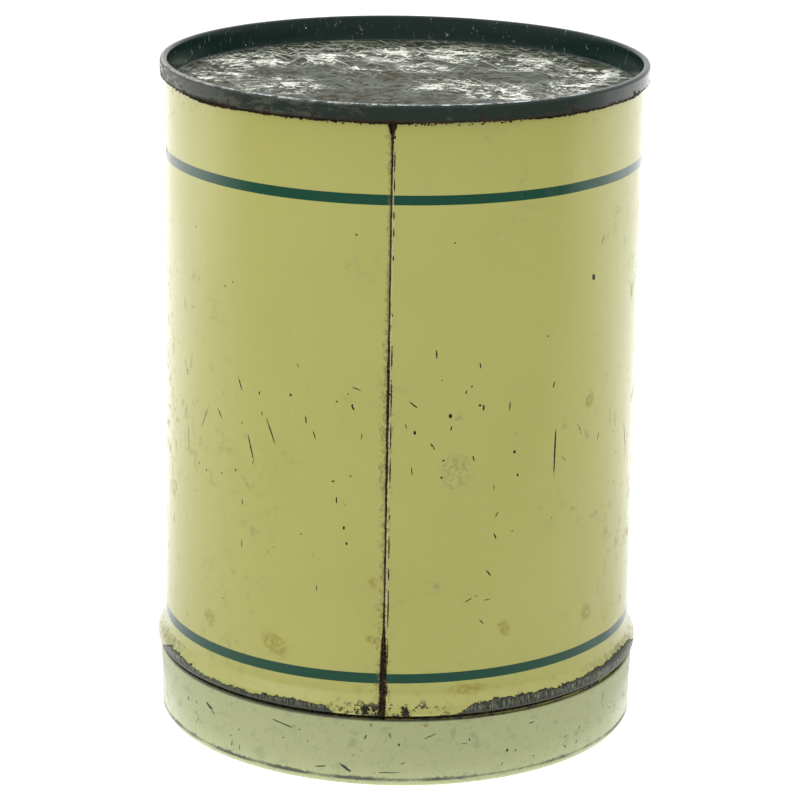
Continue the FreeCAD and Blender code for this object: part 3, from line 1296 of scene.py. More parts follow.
class RustCrumbs(ShapeTree):
    """Scatters small flat crumbs of rust along a ring, in clusters."""

    def __init__(self) -> None:
        """Build the tree."""
        super().__init__("rust_crumbs")
        radius = self.input("Radius", "Float")
        height = self.input("Height", "Float")
        spread = self.input("Spread", "Float")
        count = self.input("Count", "Int")
        size = self.input("Size", "Float")
        seed = self.input("Seed", "Int")
        finish = self.input("Finish", "Material")

        ring = self.node("GeometryNodeCurvePrimitiveCircle", {"Radius": radius, "Resolution": 256})
        points = self.node(
            "GeometryNodeCurveToPoints", {"Curve": ring.outputs[0], "Count": count}, mode="COUNT"
        )
        drop = self.math("POWER", self.chance(seed, 1, 0.0, 1.0), 2.0) * spread * -1.0
        moved = self.node(
            "GeometryNodeSetPosition",
            {"Geometry": points.outputs["Points"], "Offset": self.joined(0.0, 0.0, height + drop)},
        )
        place = self.node("GeometryNodeInputPosition").outputs[0]
        cloud = self.node(
            "ShaderNodeTexNoise", {"Vector": place, "Scale": 1.0 / (14.0 * MM)}, noise_dimensions="3D"
        )
        thin = self.node(
            "GeometryNodeDeleteGeometry",
            {
                "Geometry": moved.outputs[0],
                "Selection": self.math("LESS_THAN", cloud.outputs[0], self.chance(seed, 2, 0.35, 0.62)),
            },
            domain="POINT",
        )
        crumb = self.node("GeometryNodeMeshIcoSphere", {"Radius": 1.0, "Subdivisions": 2})
        laid = self.node(
            "GeometryNodeInstanceOnPoints",
            {"Points": thin.outputs[0], "Instance": crumb.outputs["Mesh"]},
        )
        x, y, _ = self.split(place)
        facing = self.math("ARCTAN2", y, x)
        self.feed(laid.inputs["Rotation"], self.joined(0.0, 0.0, facing))
        tall = size * self.chance(seed, 3, 0.3, 1.0)
        wide = size * self.chance(seed, 4, 0.4, 1.4)
        self.feed(laid.inputs["Scale"], self.joined(size * 0.3, wide, tall))
        self.end(laid.outputs[0], [(finish, None)])

    def chance(self, seed: Term, own: int, low: float, high: float) -> Term:
        """Return a random number for each point.

        Args:
            seed: the tree's seed.
            own: a number that sets this use apart from the others.
            low: the least value.
            high: the greatest value.

        Returns:
            The random number.
        """
        made = self.node("FunctionNodeRandomValue", data_type="FLOAT")
        sockets = [item for item in made.inputs if item.enabled]
        named = {item.name: item for item in sockets}
        self.feed(named["Min"], low)
        self.feed(named["Max"], high)
        self.feed(named["Seed"], seed * 10.0 + float(own))
        return Term(self, [item for item in made.outputs if item.enabled][0])


# ---------------------------------------------------------------------------------------------
# Marks and dents
# ---------------------------------------------------------------------------------------------


@dataclass(frozen=True)
class Mark:
    """A mark on a round wall: angle from the side seam, height, length, width and lean.

    The lean is in degrees from upright, towards growing angles. Lengths are in millimetres.
    """

    angle: float
    height: float
    length: float
    width: float
    lean: float = 0.0
    kind: MarkKind = MarkKind.SCRATCH


@dataclass(frozen=True)
class Dent:
    """A shallow dent: angle, height, depth, and its reach round and up, in millimetres."""

    angle: float
    height: float
    depth: float
    reach_round: float
    reach_up: float


@dataclass(frozen=True)
class ScatteredMarks:
    """A rule that scatters small marks over part of a wall."""

    seed: int
    count: int
    angles: tuple[float, float]
    heights: tuple[float, float]
    lengths: tuple[float, float]
    widths: tuple[float, float]
    lean: float
    kind: MarkKind

    def draw(self) -> list[Mark]:
        """Return the marks.

        Returns:
            The marks that the rule makes, always the same.
        """
        lot = random.Random(self.seed)
        made = []
        for _ in range(self.count):
            made.append(
                Mark(
                    angle=lot.uniform(*self.angles),
                    height=lot.triangular(*self.heights),
                    length=lot.uniform(*self.lengths) * lot.uniform(0.4, 1.0),
                    width=lot.uniform(*self.widths),
                    lean=lot.gauss(-12.0, self.lean),
                    kind=self.kind,
                )
            )
        return made


class WallMesh:
    """Reads and changes the mesh of a turned sheet by angle and height."""

    def __init__(self, piece: bpy.types.Object, radius: float) -> None:
        """Read the mesh.

        Args:
            piece: an object made by TurnedSheet.
            radius: the radius in millimetres at which lengths round the wall are measured.
        """
        self.mesh = piece.data
        self.radius = radius
        self.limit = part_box("body_shell")[1].x / MM - 0.002
        count = len(self.mesh.vertices)
        self.points = np.empty(count * 3, np.float32)
        self.mesh.vertices.foreach_get("co", self.points)
        self.points = self.points.reshape(-1, 3).astype(float)
        self.rows = self.read("row", count)

    def read(self, name: str, count: int) -> np.ndarray:
        """Return a stored number for every vertex.

        Args:
            name: the attribute that holds the numbers.
            count: how many vertices there are.

        Returns:
            The numbers, one for each vertex.
        """
        values = np.empty(count, np.float32)
        self.mesh.attributes[name].data.foreach_get("value", values)
        return values.astype(float)

    def angles(self) -> np.ndarray:
        """Return every vertex's angle from the side seam, in degrees."""
        return np.degrees(np.arctan2(self.points[:, 0], -self.points[:, 1]))

    def push(self, amount: np.ndarray) -> None:
        """Move every vertex away from the axis.

        Args:
            amount: how far each vertex moves, in millimetres.
        """
        radius = np.hypot(self.points[:, 0], self.points[:, 1])
        grown = (radius + amount * MM) / np.maximum(radius, 1e-9)
        self.points[:, 0] *= grown
        self.points[:, 1] *= grown

    def press(self, dents: Sequence[Dent]) -> None:
        """Press dents into the wall.

        Args:
            dents: the dents to press.
        """
        angles = self.angles()
        heights = self.points[:, 2] / MM
        for dent in dents:
            turn = (angles - dent.angle + 180.0) % 360.0 - 180.0
            across = np.radians(turn) * self.radius / dent.reach_round
            up = (heights - dent.height) / dent.reach_up
            self.push(-dent.depth * np.exp(-(across**2) - up**2))

    def corner_places(self) -> tuple[np.ndarray, np.ndarray, np.ndarray]:
        """Return the face, the length round the wall and the height of every face corner.

        Returns:
            The corner's face, its distance from the side seam and its height in millimetres.
        """
        loops = len(self.mesh.loops)
        vertices = np.empty(loops, np.int32)
        self.mesh.loops.foreach_get("vertex_index", vertices)
        totals = np.empty(len(self.mesh.polygons), np.int32)
        self.mesh.polygons.foreach_get("loop_total", totals)
        faces = np.repeat(np.arange(len(totals)), totals)
        angles = self.angles()[vertices]
        first = np.concatenate(([0], np.cumsum(totals)[:-1]))
        spread = np.maximum.reduceat(angles, first) - np.minimum.reduceat(angles, first)
        middle = np.add.reduceat(angles, first) / totals
        wraps = spread[faces] > 180.0
        low_side = wraps & (angles < 0.0)
        angles = np.where(low_side, angles + 360.0, angles)
        angles = np.where(wraps & (middle[faces] < 0.0), angles - 360.0, angles)
        return faces, np.radians(angles) * self.radius, self.points[vertices, 2] / MM

    def write(self, name: str, values: np.ndarray) -> None:
        """Store a vector on every face corner."""
        made = self.mesh.attributes.new(name, "FLOAT_VECTOR", "CORNER")
        made.data.foreach_set("vector", values.astype(np.float32).ravel())

    def draw_marks(self, marks: Sequence[Mark]) -> None:
        """Store the unrolled coordinates and the nearest mark's own coordinates on every corner.

        Each face shows at most one mark. A mark's coordinates run from -1 to 1 along its length
        and across its width.

        Args:
            marks: the marks to draw.
        """
        faces, arcs, heights = self.corner_places()
        count = faces[-1] + 1
        share = 1.0 / np.bincount(faces)
        face_arc = np.bincount(faces, arcs) * share
        face_height = np.bincount(faces, heights) * share
        half_wide = np.maximum.reduceat(np.abs(arcs - face_arc[faces]), self.first_corners(faces))
        half_tall = np.maximum.reduceat(np.abs(heights - face_height[faces]), self.first_corners(faces))
        values = np.full((len(faces), 3), 9.0)
        values[:, 2] = 0.0
        nearest = np.full(count, np.inf)
        for mark in marks:
            centre = math.radians(mark.angle) * self.radius
            lean = math.radians(mark.lean)
            reach = mark.length / 2.0 * 1.5 + mark.width
            close = (
                (np.abs(face_arc - centre) < reach + half_wide)
                & (np.abs(face_height - mark.height) < reach + half_tall)
            )
            along, across = self.own_places(face_arc - centre, face_height - mark.height, lean)
            slack = np.hypot(half_wide, half_tall)
            over_length = np.maximum(np.abs(along) - slack, 0.0) / (mark.length * 0.8)
            over_width = np.maximum(np.abs(across) - slack, 0.0) / (mark.width * 0.8)
            inside = close & (over_length < 1.0) & (over_width < 1.0)
            away = np.hypot(along / mark.length, across / mark.width)
            chosen = inside & (away < nearest)
            nearest[chosen] = away[chosen]
            picked = chosen[faces]
            along, across = self.own_places(arcs[picked] - centre, heights[picked] - mark.height, lean)
            values[picked, 0] = along / (mark.length / 2.0)
            values[picked, 1] = across / (mark.width / 2.0)
            values[picked, 2] = mark.kind.value
        self.write("mark", values)
        self.write("unrolled", np.stack([arcs, heights, np.zeros_like(arcs)], axis=1))

    def first_corners(self, faces: np.ndarray) -> np.ndarray:
        """Return the index of each face's first corner."""
        return np.concatenate(([0], np.flatnonzero(np.diff(faces)) + 1))

    def own_places(self, across: np.ndarray, up: np.ndarray, lean: float) -> tuple[np.ndarray, np.ndarray]:
        """Turn distances from a mark's middle into distances along it and across it."""
        sine, cosine = math.sin(lean), math.cos(lean)
        return across * sine + up * cosine, across * cosine - up * sine

    def keep(self) -> None:
        """Hold the points inside the CAD model's radius, write them back and face them outwards."""
        radius = np.hypot(self.points[:, 0], self.points[:, 1]) / MM
        self.push(np.minimum(self.limit - radius, 0.0))
        self.mesh.vertices.foreach_set("co", self.points.astype(np.float32).ravel())
        self.mesh.update()
        if self.signed_volume() < 0.0:
            self.mesh.flip_normals()

    def signed_volume(self) -> float:
        """Return the mesh's volume, which is negative if its faces point inwards."""
        self.mesh.calc_loop_triangles()
        corners = np.empty(len(self.mesh.loop_triangles) * 3, np.int32)
        self.mesh.loop_triangles.foreach_get("vertices", corners)
        a, b, c = self.points[corners.reshape(-1, 3)].transpose(1, 0, 2)
        return float(np.einsum("ij,ij->i", a, np.cross(b, c)).sum() / 6.0)


# ---------------------------------------------------------------------------------------------
# Sub-assemblies
# ---------------------------------------------------------------------------------------------


@dataclass(frozen=True)
class Wave:
    """A sheet's unevenness: its height and size in millimetres, and its seed."""

    height: float
    size: float
    seed: float


@dataclass
class Gauge:
    """Sizes that the pieces share, in millimetres, read from the frame where it holds them."""

    sheet: float = 0.35
    bead_protrusion: float = 2.5
    layer_gap: float = 0.16
    height: float = field(init=False)
    lid_height: float = field(init=False)
    body_radius: float = field(init=False)

    def __post_init__(self) -> None:
        """Read the overall sizes from the CAD nodes' boxes."""
        self.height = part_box("base_end")[1].z / MM
        self.lid_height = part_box("lid")[1].z / MM
        self.body_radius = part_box("body_shell")[1].x / MM - self.bead_protrusion

    @property
    def wall_line(self) -> float:
        """The radius of the middle of the body's sheet."""
        return self.body_radius - self.sheet / 2.0

    @property
    def layer(self) -> float:
        """One sheet and one gap of the double seam."""
        return self.sheet + self.layer_gap


def line_object(name: str, points: Sequence[tuple[float, float, float]], closed: bool) -> bpy.types.Object:
    """Make an object that holds one line of edges.

    Args:
        name: the object's name.
        points: the line's points, in millimetres.
        closed: whether the last point joins the first.

    Returns:
        The object, not linked to the scene.
    """
    mesh = bpy.data.meshes.new(name)
    count = len(points)
    edges = [(index, (index + 1) % count) for index in range(count if closed else count - 1)]
    mesh.from_pydata([Vector(point) * MM for point in points], edges, [])
    return bpy.data.objects.new(name, mesh)


def turn_section(
    tree: TurnedSheet,
    name: str,
    section: Section,
    columns: int,
    crowding: float,
    wave: Wave,
    finishes: tuple[bpy.types.Material, bpy.types.Material],
) -> bpy.types.Object:
    """Turn a section into a mesh object.

    Args:
        tree: the tree that turns it.
        name: the new piece's name.
        section: the sheet's section.
        columns: how many columns of faces go round.
        crowding: how far the columns crowd towards the side seam.
        wave: the surface's unevenness.
        finishes: the outside and inside materials.

    Returns:
        The new object.
    """
    points, outside_rows = section.outline()
    outline = line_object(name + "_section", [(radius, 0.0, height) for radius, height in points], True)
    made = tree.make(
        name,
        {
            "Section": outline,
            "Columns": columns,
            "Crowding": crowding,
            "Wave Height": wave.height * MM,
            "Wave Size": wave.size * MM,
            "Seed": wave.seed,
            "Wave Radius": 75.0 * MM,
            "Outside Rows": outside_rows,
            "Outside Finish": finishes[0],
            "Inside Finish": finishes[1],
        },
    )
    bpy.data.objects.remove(outline)
    return made


@dataclass
class TinBody:
    """The rolled body sheet with its stop bead, side seam and the wear on its paint."""

    gauge: Gauge
    columns: int = 340
    crowding: float = 0.80
    wave: Wave = Wave(0.26, 60.0, 3.0)
    curl_bend: float = 1.005
    mouth_height: float = 0.65
    bead_gap: float = 1.05
    bead_height: float = 6.9
    groove_depth: float = 0.26
    groove_half_width: float = 0.36
    strip_rise: float = 0.06
    seam_lean: float = 0.6
    lock_depth: float = 0.7
    lock_half_width: float = 2.2
    marks: tuple[Mark, ...] = (
        Mark(42, 103.5, 17, 0.75, 1), Mark(11, 138, 3.4, 0.5, -4), Mark(29, 120.5, 3.2, 0.45, 3),
        Mark(22.4, 120.7, 2.2, 0.6, -2), Mark(14.5, 118.8, 1.6, 1.3), Mark(6.3, 113.8, 1.3, 0.9),
        Mark(30.5, 105.7, 1.2, 1.0), Mark(31.5, 98.3, 1.0, 0.9), Mark(12.7, 99.5, 0.9, 0.8),
        Mark(15.1, 98.7, 1.0, 0.7), Mark(14.7, 114.8, 1.7, 0.5, 10), Mark(10.5, 109.4, 2.6, 0.6, -30),
        Mark(20.2, 105, 3.0, 0.45, -16), Mark(24.5, 68.1, 3.0, 0.5, -38),
        Mark(20.2, 60.3, 5.2, 0.35, 64), Mark(24.3, 59.5, 2.2, 0.3, 87),
        Mark(19, 62, 38, 0.5, -85, MarkKind.SCUFF), Mark(23, 52.6, 2.6, 0.35, -42),
        Mark(-59, 122, 6.5, 0.55, -28), Mark(-37.5, 123, 5.0, 0.5, -22),
        Mark(-34.2, 103.8, 10, 0.55, -16), Mark(-28.5, 110.5, 10.5, 0.5, -22),
        Mark(-59.5, 107.5, 4.5, 0.45, 8), Mark(-58, 100, 8.5, 0.4, -2), Mark(-50.2, 109, 11, 0.3, 27),
        Mark(-8, 121, 2.1, 0.6, -30), Mark(-7.3, 127, 3.4, 0.4, -70), Mark(-11.6, 91.5, 2.3, 0.5),
        Mark(-36.8, 85.7, 1.9, 0.5, -8), Mark(-9.8, 83, 1.1, 0.9), Mark(-9.1, 78, 1.0, 0.7),
        Mark(-39, 95.4, 1.1, 0.8), Mark(-23.2, 122.8, 0.9, 0.8), Mark(-31.7, 121.7, 1.3, 0.5),
        Mark(73.6, 98, 13, 0.7, -16), Mark(83, 113, 13, 0.9, 38), Mark(66, 107, 6, 0.35, -8),
        Mark(57, 166.5, 3.2, 0.4, 30), Mark(-48.4, 44.3, 8, 6, -40, MarkKind.STAIN),
        Mark(-27, 42.3, 13, 9, -60, MarkKind.STAIN), Mark(-2.9, 66, 5, 3.6, 0, MarkKind.STAIN),
        Mark(28.8, 49.6, 7, 4.5, -24, MarkKind.STAIN), Mark(55.2, 47.4, 8, 7, -30, MarkKind.STAIN),
        Mark(-3.2, 47.7, 4, 4, 0, MarkKind.STAIN), Mark(20, 31.2, 4.6, 16, 0, MarkKind.STAIN),
        Mark(53.6, 116.9, 7, 5.0, 20, MarkKind.STAIN), Mark(53.7, 155.8, 2.6, 1.6, -20),
        Mark(75.4, 145.6, 7, 4, 10, MarkKind.STAIN), Mark(16, 101, 16, 12, 0, MarkKind.SCUFF),
        Mark(13.6, 100.6, 0.9, 0.5, 30), Mark(14.2, 97.4, 0.7, 0.6), Mark(16.2, 101.4, 0.8, 0.5, 60),
        Mark(17.4, 100.0, 0.6, 0.5), Mark(16.6, 96.8, 0.7, 0.4, 20),
        Mark(-60, 142, 5, 2.2, -20, MarkKind.SCUFF),
    )
    seam_cracks: tuple[tuple[float, float], ...] = (
        (204.6, 203.0), (199.5, 193.0), (192.0, 186.6), (181.6, 179.0), (176.6, 173.6), (168.4, 166.4),
        (150.5, 149.5), (141.6, 133.0), (131.8, 118.0), (116.8, 108.0), (106.6, 96.0), (88.0, 86.6),
        (81.2, 73.4), (71.0, 66.5), (65.0, 51.0), (48.0, 38.6), (33.5, 29.8),
    )
    scattered: tuple[ScatteredMarks, ...] = (
        ScatteredMarks(11, 60, (-180, 180), (50, 165, 108), (1.5, 5.0), (0.25, 0.5), 16, MarkKind.SCRATCH),
        ScatteredMarks(12, 70, (-180, 180), (36, 200, 100), (0.7, 1.3), (0.4, 0.8), 60, MarkKind.SCRATCH),
        ScatteredMarks(13, 26, (80, 280), (60, 160, 105), (4.0, 14.0), (0.35, 0.6), 14, MarkKind.SCRATCH),
        ScatteredMarks(14, 60, (-180, 180), (38, 170, 80), (3.0, 12.0), (0.5, 3.0), 50, MarkKind.SCUFF),
        ScatteredMarks(15, 12, (70, 290), (32, 120, 45), (3.0, 7.0), (2.0, 4.0), 50, MarkKind.STAIN),
    )
    dents: tuple[Dent, ...] = (
        Dent(60, 44, 0.45, 9, 7), Dent(66, 37, -0.25, 5, 4), Dent(52, 190, 0.35, 7, 9),
        Dent(-70, 150, 0.3, 12, 22), Dent(140, 70, 0.6, 14, 12), Dent(-140, 120, 0.5, 16, 20),
        Dent(95, 170, 0.4, 10, 14), Dent(24, 108, 0.15, 16, 16),
    )

    @property
    def bead_low(self) -> float:
        """The height at which the stop bead leaves the wall, above the lid's rim."""
        return self.gauge.lid_height + self.bead_gap

    def wall_path(self, low: float, high: float) -> list[Corner]:
        """Return the wall's path from below the stop bead to above it.

        Args:
            low: the height at which the path starts.
            high: the height at which it ends.

        Returns:
            The path's corners.
        """
        line = self.gauge.wall_line
        crest = line + self.gauge.bead_protrusion
        return [
            Corner(line, low),
            Corner(line, self.bead_low, 0.7),
            Corner(crest, self.bead_low + 1.0, 1.25),
            Corner(crest, self.bead_low + 3.6, 1.5),
            Corner(line, self.bead_low + self.bead_height, 2.4),
            Corner(line, high),
        ]

    def section(self) -> Section:
        """Return the body sheet's section, from the mouth's curl to the flange in the base seam."""
        gauge = self.gauge
        line = gauge.wall_line
        low = self.mouth_height + gauge.sheet / 2.0
        inner = line - 2.0 * self.curl_bend
        flange = gauge.height - gauge.sheet / 2.0 - gauge.layer
        path = [
            Corner(gauge.body_radius - 2.0 * gauge.sheet, low + 2.0 * self.curl_bend),
            Corner(inner, low + 2.0 * self.curl_bend, self.curl_bend),
            Corner(inner, low, self.curl_bend),
            Corner(line, low, self.curl_bend),
            *self.wall_path(low, flange)[1:-1],
            Corner(line, flange, gauge.layer),
            Corner(line + 2.0 * gauge.layer, flange, gauge.layer),
            Corner(line + 2.0 * gauge.layer, gauge.height - 4.5),
        ]
        return Section(path, gauge.sheet, Skin.RIGHT)

    def shape_seam(self, wall: WallMesh) -> None:
        """Form the side seam's groove and raised strip outside, and its folded sheet inside.

        Args:
            wall: the body's mesh.
        """
        outside = wall.rows < self.outside_rows
        heights = wall.points[:, 2] / MM
        arcs = np.radians(wall.angles()) * self.gauge.body_radius
        away = arcs - self.seam_lean * (heights / SEAM_SPAN - 0.5)
        front = np.abs(away) < 12.0
        straight = front & (heights > 5.0) & (heights < self.gauge.height - 5.0)
        groove = -self.groove_depth * np.exp(-((away / self.groove_half_width) ** 4))
        strip = self.strip_rise * np.exp(-(((away - 1.0) / 0.75) ** 4))
        fold = -self.lock_depth * np.clip(1.0 + (self.lock_half_width - np.abs(away)) / 0.4, 0.0, 1.0)
        wall.push(np.where(straight & outside, groove + strip, 0.0))
        wall.push(np.where(straight & ~outside & (heights < self.gauge.height - 12.0), fold, 0.0))

    def build(
        self, tree: TurnedSheet, paint: bpy.types.Material, inside: bpy.types.Material
    ) -> bpy.types.Object:
        """Make the body.

        Args:
            tree: the tree that turns sections.
            paint: the outside finish.
            inside: the inside finish.

        Returns:
            The body's object.
        """
        section = self.section()
        self.outside_rows = section.outline()[1]
        piece = turn_section(
            tree, "tin_body", section, self.columns, self.crowding, self.wave, (paint, inside)
        )
        wall = WallMesh(piece, self.gauge.body_radius)
        self.shape_seam(wall)
        wall.press(self.dents)
        wall.keep()
        cracks = [Mark(0.80, (top + foot) / 2.0, top - foot, 0.46, 0.3) for top, foot in self.seam_cracks]
        drawn = [mark for rule in self.scattered for mark in rule.draw()]
        wall.draw_marks([*cracks, *self.marks, *drawn])
        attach(piece, "tin")
        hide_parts("body_shell")
        LOG.info("%s: %d faces", piece.name, len(piece.data.polygons))
        return piece

    def build_solder(self, tree: SolderBead, finish: bpy.types.Material) -> bpy.types.Object:
        """Make the solder line in the side seam's groove.

        Args:
            tree: the tree that runs a bead along a path.
            finish: the solder's material.

        Returns:
            The solder's object.
        """
        low = self.mouth_height + 4.2
        high = self.gauge.height - 5.5
        crest = self.gauge.body_radius + self.gauge.bead_protrusion - 0.3
        path = Section(self.wall_path(low, high), 0.3, Skin.RIGHT).skin(Skin.RIGHT)
        points = []
        for radius, height in path:
            away = self.seam_lean * (height / SEAM_SPAN - 0.5)
            points.append((away, -min(radius, crest), height))
        route = line_object("solder_path", points, False)
        piece = tree.make(
            "side_seam_line",
            {
                "Path": route, "Width": 0.5 * MM, "Step": 0.35 * MM, "Unevenness": 0.8, "Seed": 0.4,
                "Finish": finish,
            },
        )
        bpy.data.objects.remove(route)
        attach(piece, "tin")
        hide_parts("side_seam_solder")
        LOG.info("%s: %d faces", piece.name, len(piece.data.polygons))
        return piece

    def build_crumbs(self, tree: RustCrumbs, finish: bpy.types.Material) -> bpy.types.Object:
        """Make the crumbs of rust below the base seam.

        Args:
            tree: the tree that scatters crumbs on a ring.
            finish: the rust's material.

        Returns:
            The crumbs' object.
        """
        piece = tree.make(
            "seam_rust_crumbs",
            {
                "Radius": (self.gauge.body_radius + 0.05) * MM,
                "Height": (self.gauge.height - 5.2) * MM,
                "Spread": 1.1 * MM,
                "Count": 1500,
                "Size": 0.34 * MM,
                "Seed": 5,
                "Finish": finish,
            },
        )
        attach(piece, "tin")
        LOG.info("%s: %d faces", piece.name, len(piece.data.polygons))
        return piece


@dataclass
class BaseEnd:
    """The countersunk base and its double seam."""

    gauge: Gauge
    columns: int = 360
    crowding: float = 0.3
    wave: Wave = Wave(0.1, 14.0, 8.0)
    recess: float = 8.0
    seam_height: float = 5.3
    chuck_clearance: float = 0.03
    chuck_taper: float = 1.0

    def section(self) -> Section:
        """Return the base's section, from the middle of the panel to the end of the seam's hook."""
        gauge = self.gauge
        half = gauge.sheet / 2.0
        chuck = gauge.body_radius - gauge.sheet - self.chuck_clearance - half
        crown = gauge.height - half
        panel = gauge.height - self.recess - half
        foot = gauge.height - self.seam_height + half
        wall = gauge.wall_line + 3.0 * gauge.layer
        hook = gauge.wall_line + gauge.layer
        path = [
            Corner(0.0, panel),
            Corner(chuck - self.chuck_taper, panel, 1.0),
            Corner(chuck, crown, 0.6),
            Corner(wall, crown, 0.8),
            Corner(wall, foot, gauge.layer),
            Corner(hook, foot, gauge.layer),
            Corner(hook, gauge.height - 1.5),
        ]
        return Section(path, gauge.sheet, Skin.LEFT, longest_step=2.2, bend_step=10.0)

    def build(
        self, tree: TurnedSheet, lacquer: bpy.types.Material, inside: bpy.types.Material
    ) -> bpy.types.Object:
        """Make the base.

        Args:
            tree: the tree that turns sections.
            lacquer: the outside finish.
            inside: the inside finish.

        Returns:
            The base's object.
        """
        piece = turn_section(
            tree, "base_end_worn", self.section(), self.columns, self.crowding, self.wave,
            (lacquer, inside),
        )
        wall = WallMesh(piece, self.gauge.body_radius)
        wall.press((Dent(-64, 213, 0.10, 4, 6), Dent(48, 213, 0.10, 5, 6), Dent(160, 213, 0.12, 6, 6)))
        wall.keep()
        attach(piece, "tin")
        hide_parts("base_end")
        LOG.info("%s: %d faces", piece.name, len(piece.data.polygons))
        return piece


@dataclass
class Lid:
    """The drawn slip lid, whose rim dips a little on one side."""

    gauge: Gauge
    columns: int = 360
    crowding: float = 0.3
    wave: Wave = Wave(0.14, 30.0, 5.0)
    corner: float = 2.2
    clearance: float = 0.4
    hem_gap: float = 0.5
    hem_length: float = 4.6
    flare: float = 0.25
    panel_recess: float = 0.8
    stand_width: float = 14.0
    rim_dip: float = 0.45
    marks: tuple[Mark, ...] = (
        Mark(9.9, 20.6, 1.6, 2.0, 0, MarkKind.STAIN), Mark(-46.8, 15.4, 4.6, 1.2, -60),
        Mark(-45.4, 13.8, 2.6, 0.6, -50), Mark(-56.3, 14.1, 1.6, 0.7, 10),
        Mark(-24, 17.4, 9, 0.5, -78), Mark(-20.5, 17.0, 4.0, 0.4, -64), Mark(-8.6, 5.9, 5.2, 1.0, -55),
        Mark(-14.5, 5.4, 4.0, 0.5, 80), Mark(1.2, 5.0, 9.0, 0.4, 88),
        Mark(11, 8.0, 20, 0.25, 80, MarkKind.SCUFF), Mark(-39, 6.0, 2.8, 0.4, 6),
        Mark(-36.5, 5.6, 2.6, 0.4, 4), Mark(-3.9, 16.6, 1.8, 0.5, 20), Mark(3.8, 14.2, 1.0, 0.8),
        Mark(-9.4, 19.4, 1.6, 0.4, 60), Mark(11, 17.0, 5.0, 0.35, 66), Mark(15.8, 14.8, 3.6, 0.3, 84),
        Mark(19.0, 13.8, 2.6, 0.3, 88), Mark(40.0, 14.0, 3.0, 0.7, 20, MarkKind.SCUFF),
        Mark(52.0, 10.0, 2.0, 0.8, 30), Mark(62, 16.5, 4.5, 0.4, 14), Mark(-52, 8.6, 5.0, 0.4, 40),
        Mark(30, 9.6, 1.2, 1.0),
    )
    scattered: tuple[ScatteredMarks, ...] = (
        ScatteredMarks(21, 220, (-180, 180), (4, 21, 11), (1.0, 6.0), (0.3, 0.6), 50, MarkKind.SCUFF),
        ScatteredMarks(22, 90, (-180, 180), (4, 21, 9), (0.8, 3.0), (0.22, 0.5), 50, MarkKind.SCRATCH),
        ScatteredMarks(23, 26, (-180, 180), (4, 21, 12), (3.0, 9.0), (1.5, 4.0), 60, MarkKind.SCUFF),
    )

    def section(self) -> Section:
        """Return the lid's section, from the middle of its panel to the end of the rim's hem."""
        gauge = self.gauge
        half = gauge.sheet / 2.0
        hem = gauge.body_radius + self.clearance + half
        rim = hem + gauge.sheet + self.hem_gap
        wall = rim - self.flare
        stand = wall + half - self.corner - self.stand_width
        top = gauge.lid_height - half
        flare_low = gauge.lid_height - self.hem_length - 6.0
        flare_high = gauge.lid_height - self.hem_length
        path = [
            Corner(0.0, half + self.panel_recess),
            Corner(stand - 1.2, half + self.panel_recess, 0.6),
            Corner(stand, half, 0.6),
            Corner(wall, half, self.corner - half),
            Corner(wall, flare_low, 20.0),
            Corner(rim, flare_high, 20.0),
            Corner(rim, top, (rim - hem) / 2.0),
            Corner(hem, top, (rim - hem) / 2.0),
            Corner(hem, gauge.lid_height - self.hem_length),
        ]
        return Section(path, gauge.sheet, Skin.RIGHT, longest_step=1.6, bend_step=12.0)

    def tilt_rim(self, wall: WallMesh) -> None:
        """Let the rim sink a little towards +X and rise towards -X, as on a slightly bent lid.

        Args:
            wall: the lid's mesh.
        """
        share = np.clip((wall.points[:, 2] / MM - 8.0) / (self.gauge.lid_height - 8.0), 0.0, 1.0)
        sink = ((1.0 + np.sin(np.radians(wall.angles()))) / 2.0) ** 2
        wall.points[:, 2] += self.rim_dip * (1.0 - 2.0 * sink) * share * MM

    def build(
        self, tree: TurnedSheet, paint: bpy.types.Material, inside: bpy.types.Material
    ) -> bpy.types.Object:
        """Make the lid.

        Args:
            tree: the tree that turns sections.
            paint: the outside finish.
            inside: the inside finish.

        Returns:
            The lid's object.
        """
        piece = turn_section(
            tree, "slip_lid", self.section(), self.columns, self.crowding, self.wave,
            (paint, inside),
        )
        wall = WallMesh(piece, self.gauge.body_radius)
        self.tilt_rim(wall)
        wall.keep()
        drawn = [mark for rule in self.scattered for mark in rule.draw()]
        wall.draw_marks([*self.marks, *drawn])
        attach(piece, "lid")
        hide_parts("lid")
        LOG.info("%s: %d faces", piece.name, len(piece.data.polygons))
        return piece


# ---------------------------------------------------------------------------------------------
# Studio
# ---------------------------------------------------------------------------------------------


@dataclass(frozen=True)
class Softbox:
    """A soft area light: where it stands, how large it is and how strong."""

    name: str
    azimuth: float
    elevation: float
    distance: float
    width: float
    height: float
    power: float


